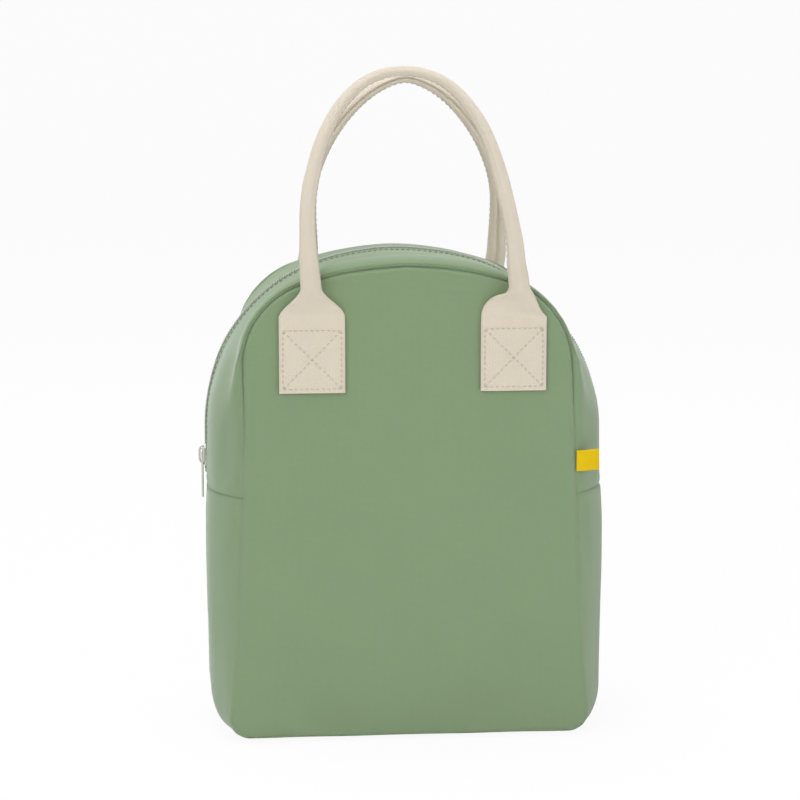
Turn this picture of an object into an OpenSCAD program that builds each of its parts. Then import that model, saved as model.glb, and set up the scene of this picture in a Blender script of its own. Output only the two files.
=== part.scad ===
// Soft insulated lunch bag: flat arched panels, bulged gusset, arched zip and two webbing handles.
// Millimetres. Base centre at the origin, front towards -Y, up is +Z.

/* [Bag body] */
// Half width of the front and back panels at the straight sides
panel_half_width = 97; // [80:0.5:110]
// Height of the front and back panel arch
panel_height = 284; // [240:0.5:310]
// Half width of the bag at its middle, where the gusset bulges most
middle_half_width = 118; // [105:0.5:130]
// Height of the bag at its middle
middle_height = 290; // [250:0.5:315]
// Half of the distance between the two panel seams
half_depth = 57; // [40:0.5:75]
// Extra half width of the panels at the foot
foot_flare = 9.5; // [0:0.5:14]
// Height of the panel seam above the floor
seam_lift = 3; // [1:0.5:6]

/* [Rounding] */
// Shoulder radius of the panels
panel_shoulder = 52; // [40:1:80]
// Crown radius of the panels
panel_crown = 190; // [140:1:240]
// Shoulder radius of the bag at its middle
middle_shoulder = 106; // [60:1:108]
// Crown radius of the bag at its middle
middle_crown = 165; // [150:1:240]
// Bottom corner radius of the panels
panel_corner = 11; // [8:0.5:20]
// Bottom corner radius of the bag at its middle
middle_corner = 26; // [12:0.5:40]
// Half width of the flat run along the middle of the gusset
flat_run = 20; // [16:0.5:30]

/* [Layers] */
// Thickness of the outer canvas
canvas = 1; // [0.6:0.1:1.6]
// Thickness of the insulating foam
foam = 3; // [2:0.1:5]
// Thickness of the lining
lining = 0.6; // [0.4:0.1:1]
// Thickness of the binding over the inner seams
binding = 0.6; // [0.4:0.1:1]

/* [Mouth and zip] */
// Height of the gusset seams, where both zip ends are sewn in
zip_foot = 148; // [120:0.5:170]
// Height up to which the zip beside the slider stays fixed
fixed_zip_top = 182.5; // [170:0.5:182.5]
// Height where the lower front foam stops below the fold
fold_low = 124; // [110:0.5:124]
// Height where the upper front foam starts above the fold
fold_high = 133; // [133:0.5:148]
// Half width of the zip gap between the canvas edges
zip_gap = 4.5; // [4.2:0.1:7]
// Half width of the zip tape
tape_half = 14; // [10:0.5:18]
// Thickness of the zip tape
tape = 0.6; // [0.4:0.1:0.8]
// Pitch of the zip teeth
tooth_pitch = 4; // [3:0.5:8]
// Largest opening angle of the mouth
mouth_angle = 35; // [10:1:35]

/* [Slider] */
// Height of the slider's lower end at rest
slider_foot = 156; // [152:0.5:165]
// Length of the slider
slider_length = 15; // [11:0.5:18]
// Half width of the slider plates
slider_half = 3.8; // [3.4:0.1:4.1]
// Thickness of each slider plate
plate = 1.3; // [0.8:0.1:1.8]
// Length of the pull below its pivot
pull_length = 30; // [18:0.5:36]
// Half width of the pull
pull_half = 4; // [3.6:0.1:5]

/* [Handles] */
// Distance from the middle of the bag to a handle end
handle_offset = 58.8; // [50:0.5:66]
// Sideways shift of the whole front handle
front_shift = 1.3; // [-4:0.1:4]
// Width of the handle webbing
webbing = 38.5; // [25:0.5:42]
// Thickness of the handle webbing
web_thick = 2.2; // [1.6:0.1:3]
// Lower edge of the sewn ends
end_foot = 210; // [190:0.5:220]
// Upper stitch line of the sewn ends
end_top = 247; // [235:0.5:255]
// Height of the top of the front grip
front_grip_top = 397.5; // [340:0.5:420]
// Height of the top of the rear grip
rear_grip_top = 390; // [340:0.5:420]
// Distance the top of the front grip leans in over the bag
front_grip_lean = 31; // [10:1:45]
// Distance the top of the rear grip leans in over the bag
rear_grip_lean = 18; // [10:1:45]
// Sideways sway of the front grip
front_grip_sway = -3.4; // [-8:0.1:8]
// Sideways sway of the rear grip
rear_grip_sway = 6; // [-8:0.1:8]
// Half width of the folded grip
grip_half_width = 4.6; // [3:0.1:8]
// Half height of the folded grip at the top of its arch
grip_crown_half = 2.9; // [2.2:0.1:6]
// Half depth of the folded grip
grip_half_depth = 5.5; // [4:0.1:10]

/* [Small parts] */
// Lower edge of the side label
label_foot = 161; // [158:0.5:175]
// Width of the side label
label_width = 12.4; // [8:0.1:18]
// Distance that the side label stands out from the panel seam
label_reach = 13; // [8:0.5:20]
// Distance that the free end of the side label is set back
label_back = 4; // [0:0.5:6]
// Thickness of the folded side label
label_thick = 0.9; // [0.5:0.1:1.5]
// Half width of the inner pocket
pocket_half = 68; // [40:1:75]
// Depth of the inner pocket
pocket_depth = 7; // [5.5:0.5:12]
// Height of the top edge of the inner pocket
pocket_top = 150; // [110:1:180]

/* [Hidden] */
$fn = 48;
panel = [panel_half_width, panel_height, panel_shoulder, panel_crown, panel_corner, foot_flare, seam_lift];
middle = [middle_half_width, middle_height, middle_shoulder, middle_crown, middle_corner, 0, 0];
// Stations along half an outline, from the bottom centre to the top centre
k_floor = 4;
k_corner = 10;
k_foot = 16;
k_side = 22;
k_shoulder = 34;
k_top = 40;
foam_in = canvas + foam;
lining_in = foam_in + lining;
// Room between the edge of a flat layer and the gusset layer around it
edge_room = 0.4;
// Side of the cubes that cut the layers, larger than the bag
reach_out = 2 * middle_height;
pocket_floor = 40;
pocket_wall = 1;
binding_gap = 0.4;
binding_out = lining_in + binding_gap;
binding_in = binding_out + binding;
binding_width = 8.4;
// Depths of the rows of points across the gusset, from a panel seam to the flat run
row_depths = [half_depth, half_depth - foam, half_depth - 9, half_depth - 17, half_depth - 27, flat_run];
clear = 0.4;
// Gap that keeps the fixed run of the zip clear of the front run as the mouth folds
fold_gap = 2.8;
label_clear = 0.3;
// Where the arch of each grip starts, as a share of its height, and how round it is
front_arch = [0.29, 0.91];
rear_arch = [0.46, 1.2];
// Height over which each grip leans to its side
front_sway_run = 80;
rear_sway_run = 35;
tooth_out = -0.2;
tooth_in = 1.7;
tooth_edge = 2.7;
tooth_tip = 0.7;
tooth_root = 1.9;
side_run = shoulder_z(middle) - zip_foot;
shoulder_run = middle_shoulder * shoulder_angle(middle) * PI / 180;
crown_run = middle_crown * (90 - shoulder_angle(middle)) * PI / 180;
zip_run = 2 * (side_run + shoulder_run + crown_run);
slider_x = -middle_half_width;
pivot_x = slider_x - 3;
pivot_z = slider_foot + slider_length - 3;
panel_face = half_depth + canvas;

// Where the straight side meets the shoulder arc
function shoulder_z(o) = o[1] - o[3] + sqrt(pow(o[3] - o[2], 2) - pow(o[0] - o[2], 2));
function shoulder_angle(o) = atan2(shoulder_z(o) - (o[1] - o[3]), o[0] - o[2]);
// Fraction of the bulge reached at depth y, straight between the rows
function bulge(y) = lookup(abs(y),
  [for (r = row_depths) [r, 1 - pow((r - flat_run) / (half_depth - flat_run), 2)]]);
function part_of(k, a, b) = (k - a) / (b - a);
function flare_x(o, z) = o[0] + o[5] * pow(1 - (z - o[6] - o[4]) / (shoulder_z(o) - o[6] - o[4]), 2);
// Point of outline o, moved inwards by d, at station k of its right half
function half_point(k, o, d) =
  k < k_floor ? [part_of(k, 0, k_floor) * (o[0] + o[5] - o[4]), o[6] + d]
  : k < k_corner ? let(a = -90 + 90 * part_of(k, k_floor, k_corner))
    [o[0] + o[5] - o[4] + (o[4] - d) * cos(a), o[6] + o[4] + (o[4] - d) * sin(a)]
  : k < k_foot ? let(z = o[6] + o[4] + part_of(k, k_corner, k_foot) * (zip_foot - o[6] - o[4]))
    [flare_x(o, z) - d, z]
  : k < k_side ? let(z = zip_foot + part_of(k, k_foot, k_side) * (shoulder_z(o) - zip_foot))
    [flare_x(o, z) - d, z]
  : k < k_shoulder ? let(a = shoulder_angle(o) * part_of(k, k_side, k_shoulder))
    [o[0] - o[2] + (o[2] - d) * cos(a), shoulder_z(o) + (o[2] - d) * sin(a)]
  : let(a = shoulder_angle(o) + (90 - shoulder_angle(o)) * part_of(k, k_shoulder, k_top))
    [(o[3] - d) * cos(a), o[1] - o[3] + (o[3] - d) * sin(a)];
function full_point(k, o, d) =
  k < 0 ? let(p = half_point(-k, o, d)) [-p[0], p[1]]
  : k > k_top ? let(p = half_point(2 * k_top - k, o, d)) [-p[0], p[1]]
  : half_point(k, o, d);
// Distance from the middle of the gusset seams, along unit vector u, to the circle of radius r about c
function ray_to_circle(u, c, r) = u * c + sqrt(pow(u * c, 2) - c * c + r * r);
// Point of the middle outline straight out from the panel's point at station k
function middle_half(k, d) = k <= k_foot ? half_point(k, middle, d)
  : let(p = half_point(k, panel, d), a = atan2(p[1] - zip_foot, p[0]), u = [cos(a), sin(a)],
      s = shoulder_angle(middle), w = middle_half_width - d,
      side_end = atan2(shoulder_z(middle) - zip_foot, w),
      low = middle_height - middle_crown,
      crown_start = atan2(low + (middle_crown - d) * sin(s) - zip_foot, (middle_crown - d) * cos(s)),
      r = a < side_end ? w / u[0]
        : a < crown_start
        ? ray_to_circle(u, [middle_half_width - middle_shoulder, shoulder_z(middle) - zip_foot], middle_shoulder - d)
        : ray_to_circle(u, [0, low - zip_foot], middle_crown - d))
    [r * u[0], zip_foot + r * u[1]];
function middle_full(k, d) =
  k < 0 ? let(p = middle_half(-k, d)) [-p[0], p[1]]
  : k > k_top ? let(p = middle_half(2 * k_top - k, d)) [-p[0], p[1]]
  : middle_half(k, d);
function skin_point(k, y, d) =
  let(p = full_point(k, panel, d), q = middle_full(k, d), f = bulge(y))
  [p[0] + (q[0] - p[0]) * f, y, p[1] + (q[1] - p[1]) * f];
// Point of the middle outline at run s of the zip, measured from its right foot
function zip_half(s, d) =
  s < side_run ? [middle_half_width - d, zip_foot + s]
  : s < side_run + shoulder_run ? let(a = (s - side_run) / middle_shoulder * 180 / PI)
    [middle_half_width - middle_shoulder + (middle_shoulder - d) * cos(a),
     shoulder_z(middle) + (middle_shoulder - d) * sin(a)]
  : let(a = shoulder_angle(middle) + (s - side_run - shoulder_run) / middle_crown * 180 / PI)
    [(middle_crown - d) * cos(a), middle_height - middle_crown + (middle_crown - d) * sin(a)];
function zip_point(s, y, d) = s <= zip_run / 2
  ? let(p = zip_half(s, d)) [p[0], y, p[1]]
  : let(p = zip_half(zip_run - s, d)) [-p[0], y, p[1]];
// Station of the panel outline that lies straight in from the zip at height z
function zip_station(z) = k_foot + (k_side - k_foot) * panel_half_width * (z - zip_foot)
  / (middle_half_width * (shoulder_z(panel) - zip_foot));
function front_rows(from, to) = concat([-from], [for (r = row_depths) if (r < from && r > to) -r], [-to]);
function rear_rows(from, to) = let(r = front_rows(from, to)) [for (i = [len(r) - 1 : -1 : 0]) -r[i]];
function both_rows(from) = concat(front_rows(from, flat_run), rear_rows(from, flat_run));
// Stations where the front zip tape is parted beside the slider
cuts = [2 * k_top - zip_station(fixed_zip_top + fold_gap), 2 * k_top - zip_station(fixed_zip_top)];
function stations(a, b) = concat([a],
  [for (k = [ceil(a + 0.01) - 1 : floor(b - 0.01)]) each concat(k > a ? [k] : [],
    [for (c = cuts) if (c > k + 0.01 && c < k + 0.99 && c > a + 0.01 && c < b - 0.01) c])],
  [b]);

// Closed solid between an outer and an inner grid of points
module between(outer, inner) {
  n = len(outer);
  m = len(outer[0]);
  pts = concat([for (r = outer) each r], [for (r = inner) each r]);
  o = function(i, j) i * m + j;
  q = function(i, j) n * m + i * m + j;
  polyhedron(pts, concat(
    [for (i = [0 : n - 2], j = [0 : m - 2]) each [
      [o(i, j), o(i + 1, j + 1), o(i, j + 1)], [o(i, j), o(i + 1, j), o(i + 1, j + 1)],
      [q(i, j), q(i, j + 1), q(i + 1, j + 1)], [q(i, j), q(i + 1, j + 1), q(i + 1, j)]]],
    [for (i = [0 : n - 2]) each [
      [o(i, 0), q(i, 0), q(i + 1, 0)], [o(i, 0), q(i + 1, 0), o(i + 1, 0)],
      [o(i, m - 1), q(i + 1, m - 1), q(i, m - 1)], [o(i, m - 1), o(i + 1, m - 1), q(i + 1, m - 1)]]],
    [for (j = [0 : m - 2]) each [
      [o(0, j), o(0, j + 1), q(0, j + 1)], [o(0, j), q(0, j + 1), q(0, j)],
      [o(n - 1, j), q(n - 1, j + 1), o(n - 1, j + 1)], [o(n - 1, j), q(n - 1, j), q(n - 1, j + 1)]]]),
    convexity = 8);
}

// Layer of the gusset between two insets, over stations and depth rows
module layer(ks, rows, d_out, d_in) {
  between([for (k = ks) [for (y = rows) skin_point(k, y, d_out)]],
          [for (k = ks) [for (y = rows) skin_point(k, y, d_in)]]);
}

// Flat sheet with the panel's outline moved in by d, from depth y0 to y1
module sheet(d, y0, y1) {
  translate([0, y1, 0])
    rotate([90, 0, 0])
      linear_extrude(y1 - y0)
        polygon([for (k = [-k_top + 1 : k_top]) full_point(k, panel, d)]);
}

// Sheet kept between two heights
module cut_sheet(d, y0, y1, z0, z1) {
  intersection() {
    sheet(d, y0, y1);
    translate([-reach_out / 2, y0 - 1, z0])
      cube([reach_out, y1 - y0 + 2, z1 - z0]);
  }
}

// Row of teeth along the zip; side is -1 in front and 1 behind
module teeth(from, to, side) {
  count = ceil((to - from) / (tooth_pitch / 2));
  step = (to - from) / count;
  tip = function(i) i % 2 == 0 ? tooth_tip : tooth_root;
  row = function(i, d) side < 0
    ? [zip_point(from + i * step, -tooth_edge, d), zip_point(from + i * step, -tip(i), d)]
    : [zip_point(from + i * step, tip(i), d), zip_point(from + i * step, tooth_edge, d)];
  between([for (i = [0 : count]) row(i, tooth_out)], [for (i = [0 : count]) row(i, tooth_in)]);
}

// Straight run of teeth on the left side of the zip
module left_teeth(z0, z1, side) {
  teeth(zip_run - (z1 - zip_foot), zip_run - (z0 - zip_foot), side);
}

module front_panel() {
  color("DarkSeaGreen")
    sheet(0, -panel_face, -half_depth);
}

module back_panel() {
  color("DarkSeaGreen")
    sheet(0, half_depth, panel_face);
}

module lower_gusset() {
  color("DarkSeaGreen")
    layer([for (k = [-k_foot : k_foot]) k], both_rows(half_depth), 0, canvas);
}

module top_gusset_front() {
  color("DarkSeaGreen")
    layer(stations(k_foot, 2 * k_top - k_foot), front_rows(half_depth, zip_gap), 0, canvas);
}

module top_gusset_rear() {
  color("DarkSeaGreen")
    layer(stations(k_foot, 2 * k_top - k_foot), rear_rows(half_depth, zip_gap), 0, canvas);
}

module front_foam_lower() {
  color("WhiteSmoke")
    cut_sheet(canvas + edge_room, -half_depth, -half_depth + foam, -1, fold_low);
}

module front_foam_upper() {
  color("WhiteSmoke")
    cut_sheet(foam, -half_depth, -half_depth + foam, fold_high, reach_out);
}

module back_foam() {
  color("WhiteSmoke")
    sheet(canvas + edge_room, half_depth - foam, half_depth);
}

module gusset_foam() {
  color("WhiteSmoke")
    layer([for (k = [-k_foot : k_foot]) k], both_rows(half_depth - foam), canvas, foam_in);
}

module top_foam_front() {
  color("WhiteSmoke")
    difference() {
      layer(stations(k_foot, 2 * k_top - k_foot), front_rows(half_depth - foam, tape_half + clear),
            canvas, foam_in);
      fold_clearance();
    }
}

// Wedge that the folding mouth sweeps beside the zip ends
module fold_clearance() {
  lift = 2.5;
  reach = 70;
  translate([-reach_out / 2, 0, zip_foot + lift])
    rotate([90, 0, 90])
      linear_extrude(reach_out)
        polygon([[0, 0], [-reach, reach * tan(mouth_angle)], [-reach, -20], [0, -20]]);
}

module top_foam_rear() {
  color("WhiteSmoke")
    layer(stations(k_foot, 2 * k_top - k_foot), rear_rows(half_depth - foam, tape_half), canvas, foam_in);
}

module front_lining() {
  color("Gainsboro")
    sheet(lining_in + edge_room, -half_depth + foam, -half_depth + foam + lining);
}

module back_lining() {
  color("Gainsboro")
    sheet(lining_in + edge_room, half_depth - foam - lining, half_depth - foam);
}

module gusset_lining() {
  color("Gainsboro")
    layer([for (k = [-k_foot : k_foot]) k], both_rows(half_depth - foam), foam_in, lining_in);
}

module top_lining_front() {
  color("Gainsboro")
    layer(stations(k_foot, 2 * k_top - k_foot), front_rows(half_depth - foam, tape_half + clear),
          foam_in, lining_in);
}

module top_lining_rear() {
  color("Gainsboro")
    layer(stations(k_foot, 2 * k_top - k_foot), rear_rows(half_depth - foam, tape_half), foam_in, lining_in);
}

module seam_binding_front() {
  color("Gray")
    layer(stations(0.02, 2 * k_top - 0.02), front_rows(half_depth - foam - lining, half_depth - foam - lining - binding_width),
          binding_out, binding_in);
}

module seam_binding_rear() {
  color("Gray")
    layer(stations(0.02, 2 * k_top - 0.02), rear_rows(half_depth - foam - lining, half_depth - foam - lining - binding_width),
          binding_out, binding_in);
}

module inner_pocket() {
  wall = half_depth - foam - lining;
  color("LightGray")
    translate([-pocket_half, wall - pocket_depth, pocket_floor])
      difference() {
        cube([2 * pocket_half, pocket_depth, pocket_top - pocket_floor]);
        translate([pocket_wall, 0.8, pocket_wall])
          cube([2 * (pocket_half - pocket_wall), pocket_depth, pocket_top]);
      }
}

module zip_tape_front() {
  color("DarkOliveGreen")
    layer(stations(zip_station(zip_foot + 14.5), 2 * k_top - zip_station(fixed_zip_top + fold_gap)),
          [-tape_half, -tooth_edge], canvas, canvas + tape);
}

module zip_tape_rear() {
  color("DarkOliveGreen")
    layer(stations(k_foot, 2 * k_top - k_foot), [tooth_edge, tape_half], canvas, canvas + tape);
}

module zip_tape_fixed() {
  color("DarkOliveGreen")
    layer(stations(2 * k_top - zip_station(fixed_zip_top), 2 * k_top - k_foot),
          [-tape_half, -tooth_edge], canvas, canvas + tape);
}

module zip_teeth_front() {
  color("DarkOliveGreen")
    teeth(3.3, zip_run - (fixed_zip_top + fold_gap - zip_foot), -1);
}

module zip_teeth_rear() {
  color("DarkOliveGreen")
    teeth(2.2, zip_run - 4, 1);
}

module zip_teeth_fixed() {
  color("DarkOliveGreen")
    left_teeth(zip_foot + 4, fixed_zip_top, -1);
}

module zip_stop_left() {
  color("Silver")
    translate([slider_x - 0.4, -tooth_edge, zip_foot])
      cube([2.6, 2 * tooth_edge, 3.8]);
}

module zip_stop_right() {
  color("Silver")
    translate([middle_half_width - 2.2, -tooth_edge, zip_foot])
      cube([2.6, 2 * tooth_edge, 1.9]);
}

// Slider plates, side flanges, neck and the bridge that holds the pull
module zip_slider() {
  outer_x = slider_x - 0.5;
  inner_x = slider_x + 2.1;
  color("Silver")
    translate([0, 0, slider_foot]) {
      slider_plate(outer_x - plate);
      slider_plate(inner_x);
      for (side = [-1, 1])
        slider_flanges(side);
      translate([outer_x - plate, -0.4, slider_length - 5])
        cube([inner_x - outer_x + 2 * plate, 0.8, 3]);
      bridge();
    }
}

// Slider plate with rounded ends, its outer face at x
module slider_plate(x) {
  translate([x, 0, 0])
    rotate([90, 0, 90])
      linear_extrude(plate)
        intersection() {
          translate([-slider_half, 0])
            square([2 * slider_half, slider_length]);
          translate([0, slider_length / 2])
            circle(r = slider_length / 2 + 0.8);
        }
}

// Flanges that close the channel beside the tape on one side
module slider_flanges(side) {
  y0 = side > 0 ? slider_half - 0.8 : -slider_half;
  translate([slider_x - 0.6, y0, 2])
    cube([1.2, 0.8, slider_length - 5]);
  translate([slider_x + 1.95, y0, 2])
    cube([0.3, 0.8, slider_length - 5]);
}

// Arched strap over the outer plate
module bridge() {
  x0 = slider_x - 0.5 - plate;
  translate([x0, -1.2, 0])
    difference() {
      translate([-3.6, 0, 2])
        cube([3.7, 2.4, slider_length - 3]);
      translate([-2.4, -1, 4])
        cube([2.4, 5, slider_length - 6]);
    }
}

// Flat pull with a window for the bridge, hung on its own top bar
module zip_pull() {
  window = 12;
  color("Silver")
    translate([pivot_x, 0, pivot_z]) {
      rotate([90, 0, 0])
        translate([0, 0, -pull_half])
          cylinder(r = 0.7, h = 2 * pull_half);
      difference() {
        pull_plate();
        translate([-3, -2, -window])
          cube([6, 4, window]);
        translate([-3, 0, -pull_length + pull_half])
          rotate([0, 90, 0])
            cylinder(r = 1.5, h = 6);
      }
    }
}

// Outline of the pull with a rounded lower end
module pull_plate() {
  translate([-0.6, 0, 0])
    rotate([90, 0, 90])
      linear_extrude(1.2)
        union() {
          translate([-pull_half, -pull_length + pull_half])
            square([2 * pull_half, pull_length - pull_half]);
          translate([0, -pull_length + pull_half])
            circle(r = pull_half);
        }
}

function handle_shift(side) = side < 0 ? front_shift : 0;
function handle_places(side) = [-handle_offset + handle_shift(side), handle_offset + handle_shift(side)];

// Two sewn webbing ends on a panel; side is -1 in front and 1 behind
module handle_ends(side) {
  y0 = side < 0 ? -panel_face - web_thick : panel_face;
  color("Wheat")
    for (x = handle_places(side))
      translate([x - webbing / 2, y0, end_foot])
        cube([webbing, web_thick, end_top - end_foot]);
}

// Box and cross of raised thread on both sewn ends
module handle_stitches(side) {
  y0 = side < 0 ? -panel_face - web_thick - 0.3 : panel_face + web_thick;
  half = webbing / 2 - 2.5;
  low = end_foot + 2.5;
  high = end_top - 2;
  mid = (low + high) / 2;
  reach = sqrt(pow(2 * half, 2) + pow(high - low, 2));
  tilt = atan2(high - low, 2 * half);
  color("Linen")
    for (x = handle_places(side))
      translate([x, y0, 0]) {
        for (z = [low, high])
          translate([-half, 0, z - 0.3])
            cube([2 * half, 0.3, 0.6]);
        for (u = [-half, half])
          translate([u - 0.3, 0, low])
            cube([0.6, 0.3, high - low]);
        for (t = [-tilt, tilt])
          translate([0, 0.15, mid])
            rotate([0, t, 0])
              cube([reach - 1, 0.3, 0.6], center = true);
      }
}

// Share of the way from the flat sewn end to the folded grip at height z
function fold(z) = let(t = max(0, min(1, (z - end_top - 3) / 22))) t * t * (3 - 2 * t);
// Cross-section of the grip: half width, half depth
function grip_size(z) = [webbing / 2 + (grip_half_width - webbing / 2) * fold(z),
  web_thick / 2 + (grip_half_depth - web_thick / 2) * fold(z)];
// Height where the arch of a grip starts
function arch_foot(top, arch) = end_top + (top - end_top) * arch[0];
function arch_rise(top, arch) = top - grip_crown_half - arch_foot(top, arch);
function leg_heights(foot) = concat([for (h = [0.5, 4, 8, 12, 16, 20, 25]) end_top + h], [(end_top + 25 + foot) / 2]);
function soft(t) = let(u = max(0, min(1, t))) u * u * (3 - 2 * u);
// Centre line of a grip in its own plane
function grip_line(top, arch, sway, sway_run, shift) =
  let(foot = arch_foot(top, arch), rise = arch_rise(top, arch), legs = leg_heights(foot), n = len(legs),
    path = concat(
      [for (z = legs) [handle_offset, z]],
      [for (a = [0 : 7.5 : 180]) [sign(cos(a)) * handle_offset * pow(abs(cos(a)), arch[1]),
        foot + rise * pow(sin(a), arch[1])]],
      [for (i = [n - 1 : -1 : 0]) [-handle_offset, legs[i]]]))
  [for (p = path) [p[0] + shift + sway * soft((p[1] - end_top) / sway_run), p[1]]];
function grip_turn(path, i) = i == 0 ? 90 : i == len(path) - 1 ? 270
  : let(d = path[i + 1] - path[i - 1]) atan2(d[1], d[0]);
// Half width of a grip, which is flatter at the top of its arch
function grip_half(z, top, arch) =
  let(t = max(0, min(1, (z - arch_foot(top, arch)) / arch_rise(top, arch))))
  grip_size(z)[0] + (grip_crown_half - grip_half_width) * t * t;
// Depth of the centre line at height z; side is -1 in front and 1 behind
function grip_y(z, top, side, lean) =
  let(t = max(0, (z - panel_height) / (top - panel_height)))
  side * (panel_face + grip_size(z)[1] + 0.3 * fold(z) - lean * pow(t, 1.3));
function grip_section(p, turn, top, side, arch, lean) =
  let(w = grip_half(p[1], top, arch), h = grip_size(p[1])[1], n = 12, y = grip_y(p[1], top, side, lean))
  [for (i = [0 : n - 1]) let(a = 45 + 360 * i / n, r = 1 / pow(pow(abs(cos(a)), 4) + pow(abs(sin(a)), 4), 0.25))
    [p[0] + w * r * cos(a) * sin(turn), y + h * r * sin(a), p[1] - w * r * cos(a) * cos(turn)]];

// Webbing grip swept along its arch
module grip(top, side, arch, sway, sway_run, lean) {
  path = grip_line(top, arch, sway, sway_run, handle_shift(side));
  rings = [for (i = [0 : len(path) - 1]) grip_section(path[i], grip_turn(path, i), top, side, arch, lean)];
  n = 12;
  last = len(rings) - 1;
  color("Wheat")
    polyhedron([for (r = rings) each r], concat(
      [for (i = [0 : last - 1], j = [0 : n - 1]) each [
        [i * n + j, (i + 1) * n + (j + 1) % n, i * n + (j + 1) % n],
        [i * n + j, (i + 1) * n + j, (i + 1) * n + (j + 1) % n]]],
      [[for (j = [0 : n - 1]) j]], [[for (j = [0 : n - 1]) last * n + n - 1 - j]]), convexity = 6);
}

module front_handle_ends() {
  handle_ends(-1);
}

module rear_handle_ends() {
  handle_ends(1);
}

module front_handle_stitches() {
  handle_stitches(-1);
}

module rear_handle_stitches() {
  handle_stitches(1);
}

module front_grip() {
  grip(front_grip_top, -1, front_arch, front_grip_sway, front_sway_run, front_grip_lean);
}

module rear_grip() {
  grip(rear_grip_top, 1, rear_arch, rear_grip_sway, rear_sway_run, rear_grip_lean);
}

// Folded label that stands out of the right front seam
module side_label() {
  seam = flare_x(panel, label_foot) + label_clear;
  color("Gold")
    translate([seam, -panel_face, label_foot])
      linear_extrude(label_width)
        polygon([[0, 0], [label_reach, label_back], [label_reach, label_back + label_thick], [0, label_thick]]);
}

front_panel();
back_panel();
lower_gusset();
top_gusset_front();
top_gusset_rear();
front_foam_lower();
front_foam_upper();
back_foam();
gusset_foam();
top_foam_front();
top_foam_rear();
front_lining();
back_lining();
gusset_lining();
top_lining_front();
top_lining_rear();
seam_binding_front();
seam_binding_rear();
inner_pocket();
zip_tape_front();
zip_tape_rear();
zip_tape_fixed();
zip_teeth_front();
zip_teeth_rear();
zip_teeth_fixed();
zip_stop_left();
zip_stop_right();
zip_slider();
zip_pull();
front_handle_ends();
rear_handle_ends();
front_handle_stitches();
rear_handle_stitches();
front_grip();
rear_grip();
side_label();
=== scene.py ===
"""Dresses the soft lunch bag: canvas shell, foam-backed lining, arched zip, webbing handles and side label."""

import logging
import math
from dataclasses import dataclass, field
from enum import Enum, IntEnum
from functools import cache
from typing import Sequence

import bpy
import numpy as np
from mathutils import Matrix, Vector

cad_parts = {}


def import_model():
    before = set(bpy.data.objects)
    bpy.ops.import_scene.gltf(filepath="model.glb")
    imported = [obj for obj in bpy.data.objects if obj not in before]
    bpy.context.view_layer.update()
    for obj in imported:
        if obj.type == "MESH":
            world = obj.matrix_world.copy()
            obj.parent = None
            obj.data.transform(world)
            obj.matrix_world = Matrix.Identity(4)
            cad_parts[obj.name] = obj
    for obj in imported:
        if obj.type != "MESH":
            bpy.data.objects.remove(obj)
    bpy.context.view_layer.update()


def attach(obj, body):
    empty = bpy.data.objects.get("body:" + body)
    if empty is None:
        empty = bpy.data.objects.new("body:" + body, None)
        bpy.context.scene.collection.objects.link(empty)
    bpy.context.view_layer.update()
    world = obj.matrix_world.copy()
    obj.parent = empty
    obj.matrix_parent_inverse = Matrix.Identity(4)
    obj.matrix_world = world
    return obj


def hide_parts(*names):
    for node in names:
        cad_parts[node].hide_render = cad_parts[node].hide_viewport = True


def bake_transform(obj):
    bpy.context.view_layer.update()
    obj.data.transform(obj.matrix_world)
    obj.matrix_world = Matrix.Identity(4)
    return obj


log = logging.getLogger("lunch_bag")

MM = 0.001
WHITE = (1.0, 1.0, 1.0, 1.0)
RIGHTWARD, REARWARD, UPWARD = (1.0, 0.0, 0.0), (0.0, 1.0, 0.0), (0.0, 0.0, 1.0)
PANEL_WEAVE, GUSSET_WEAVE = 300, 100  # where panels and gussets are cut from the cloth, in millimetres
Grid = np.ndarray
Colour = tuple[float, float, float]
Faces = list[list[int]]
Input = bpy.types.NodeSocket | float | tuple[float, ...]


class Side(Enum):
    """Which half of the bag a piece belongs to, with the sign of its depth."""

    FRONT = -1
    REAR = 1

    @property
    def label(self) -> str:
        """Word for this half in the names of pieces and solids."""
        return self.name.lower()

    @property
    def carrier(self) -> str:
        """Body that carries this half of the mouth."""
        return "mouth" if self is Side.FRONT else "bag"


class Station(IntEnum):
    """Marks along half an outline, from the bottom centre to the top centre."""

    FLOOR = 4
    CORNER = 10
    FOLD = 16
    SIDE = 22
    SHOULDER = 34
    TOP = 40

    @property
    def left(self) -> int:
        """The same mark on the left half, reached over the top."""
        return 2 * Station.TOP - self


# ---------------------------------------------------------------- mesh helpers


def smooth(t: Grid | float) -> Grid | float:
    """Smoothstep of t, held to 0..1."""
    t = np.clip(t, 0.0, 1.0)
    return t * t * (3 - 2 * t)


def ramp(t: Grid | float, start: float, length: float) -> Grid | float:
    """Smooth rise from 0 at a start to 1 a length further on."""
    return smooth((t - start) / length)


def bell(t: float, middle: float, width: float) -> float:
    """Bell curve that is 1 in the middle."""
    return math.exp(-(((t - middle) / width) ** 2))


def share(k: float, start: float, end: float) -> float:
    """Share of the way from one station to another."""
    return (k - start) / (end - start)


def spaced(*runs: tuple[float, float, int]) -> Grid:
    """Joins evenly spaced runs of stations, each given as start, end and number of steps."""
    parts = [np.linspace(a, b, count, endpoint=False) for a, b, count in runs]
    return np.append(np.concatenate(parts), runs[-1][1])


def crowded(count: int, strength: float, reach: float = 1.0) -> Grid:
    """Values between two ends, closer together beside the ends.

    Args:
        count: Number of values.
        strength: How far they crowd, from 0 to 1.
        reach: Size of both ends.

    Returns:
        The values in rising order.
    """
    t = np.linspace(-1, 1, count)
    return reach * np.sin(t * math.pi / 2 * strength) / math.sin(math.pi / 2 * strength)


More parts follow.
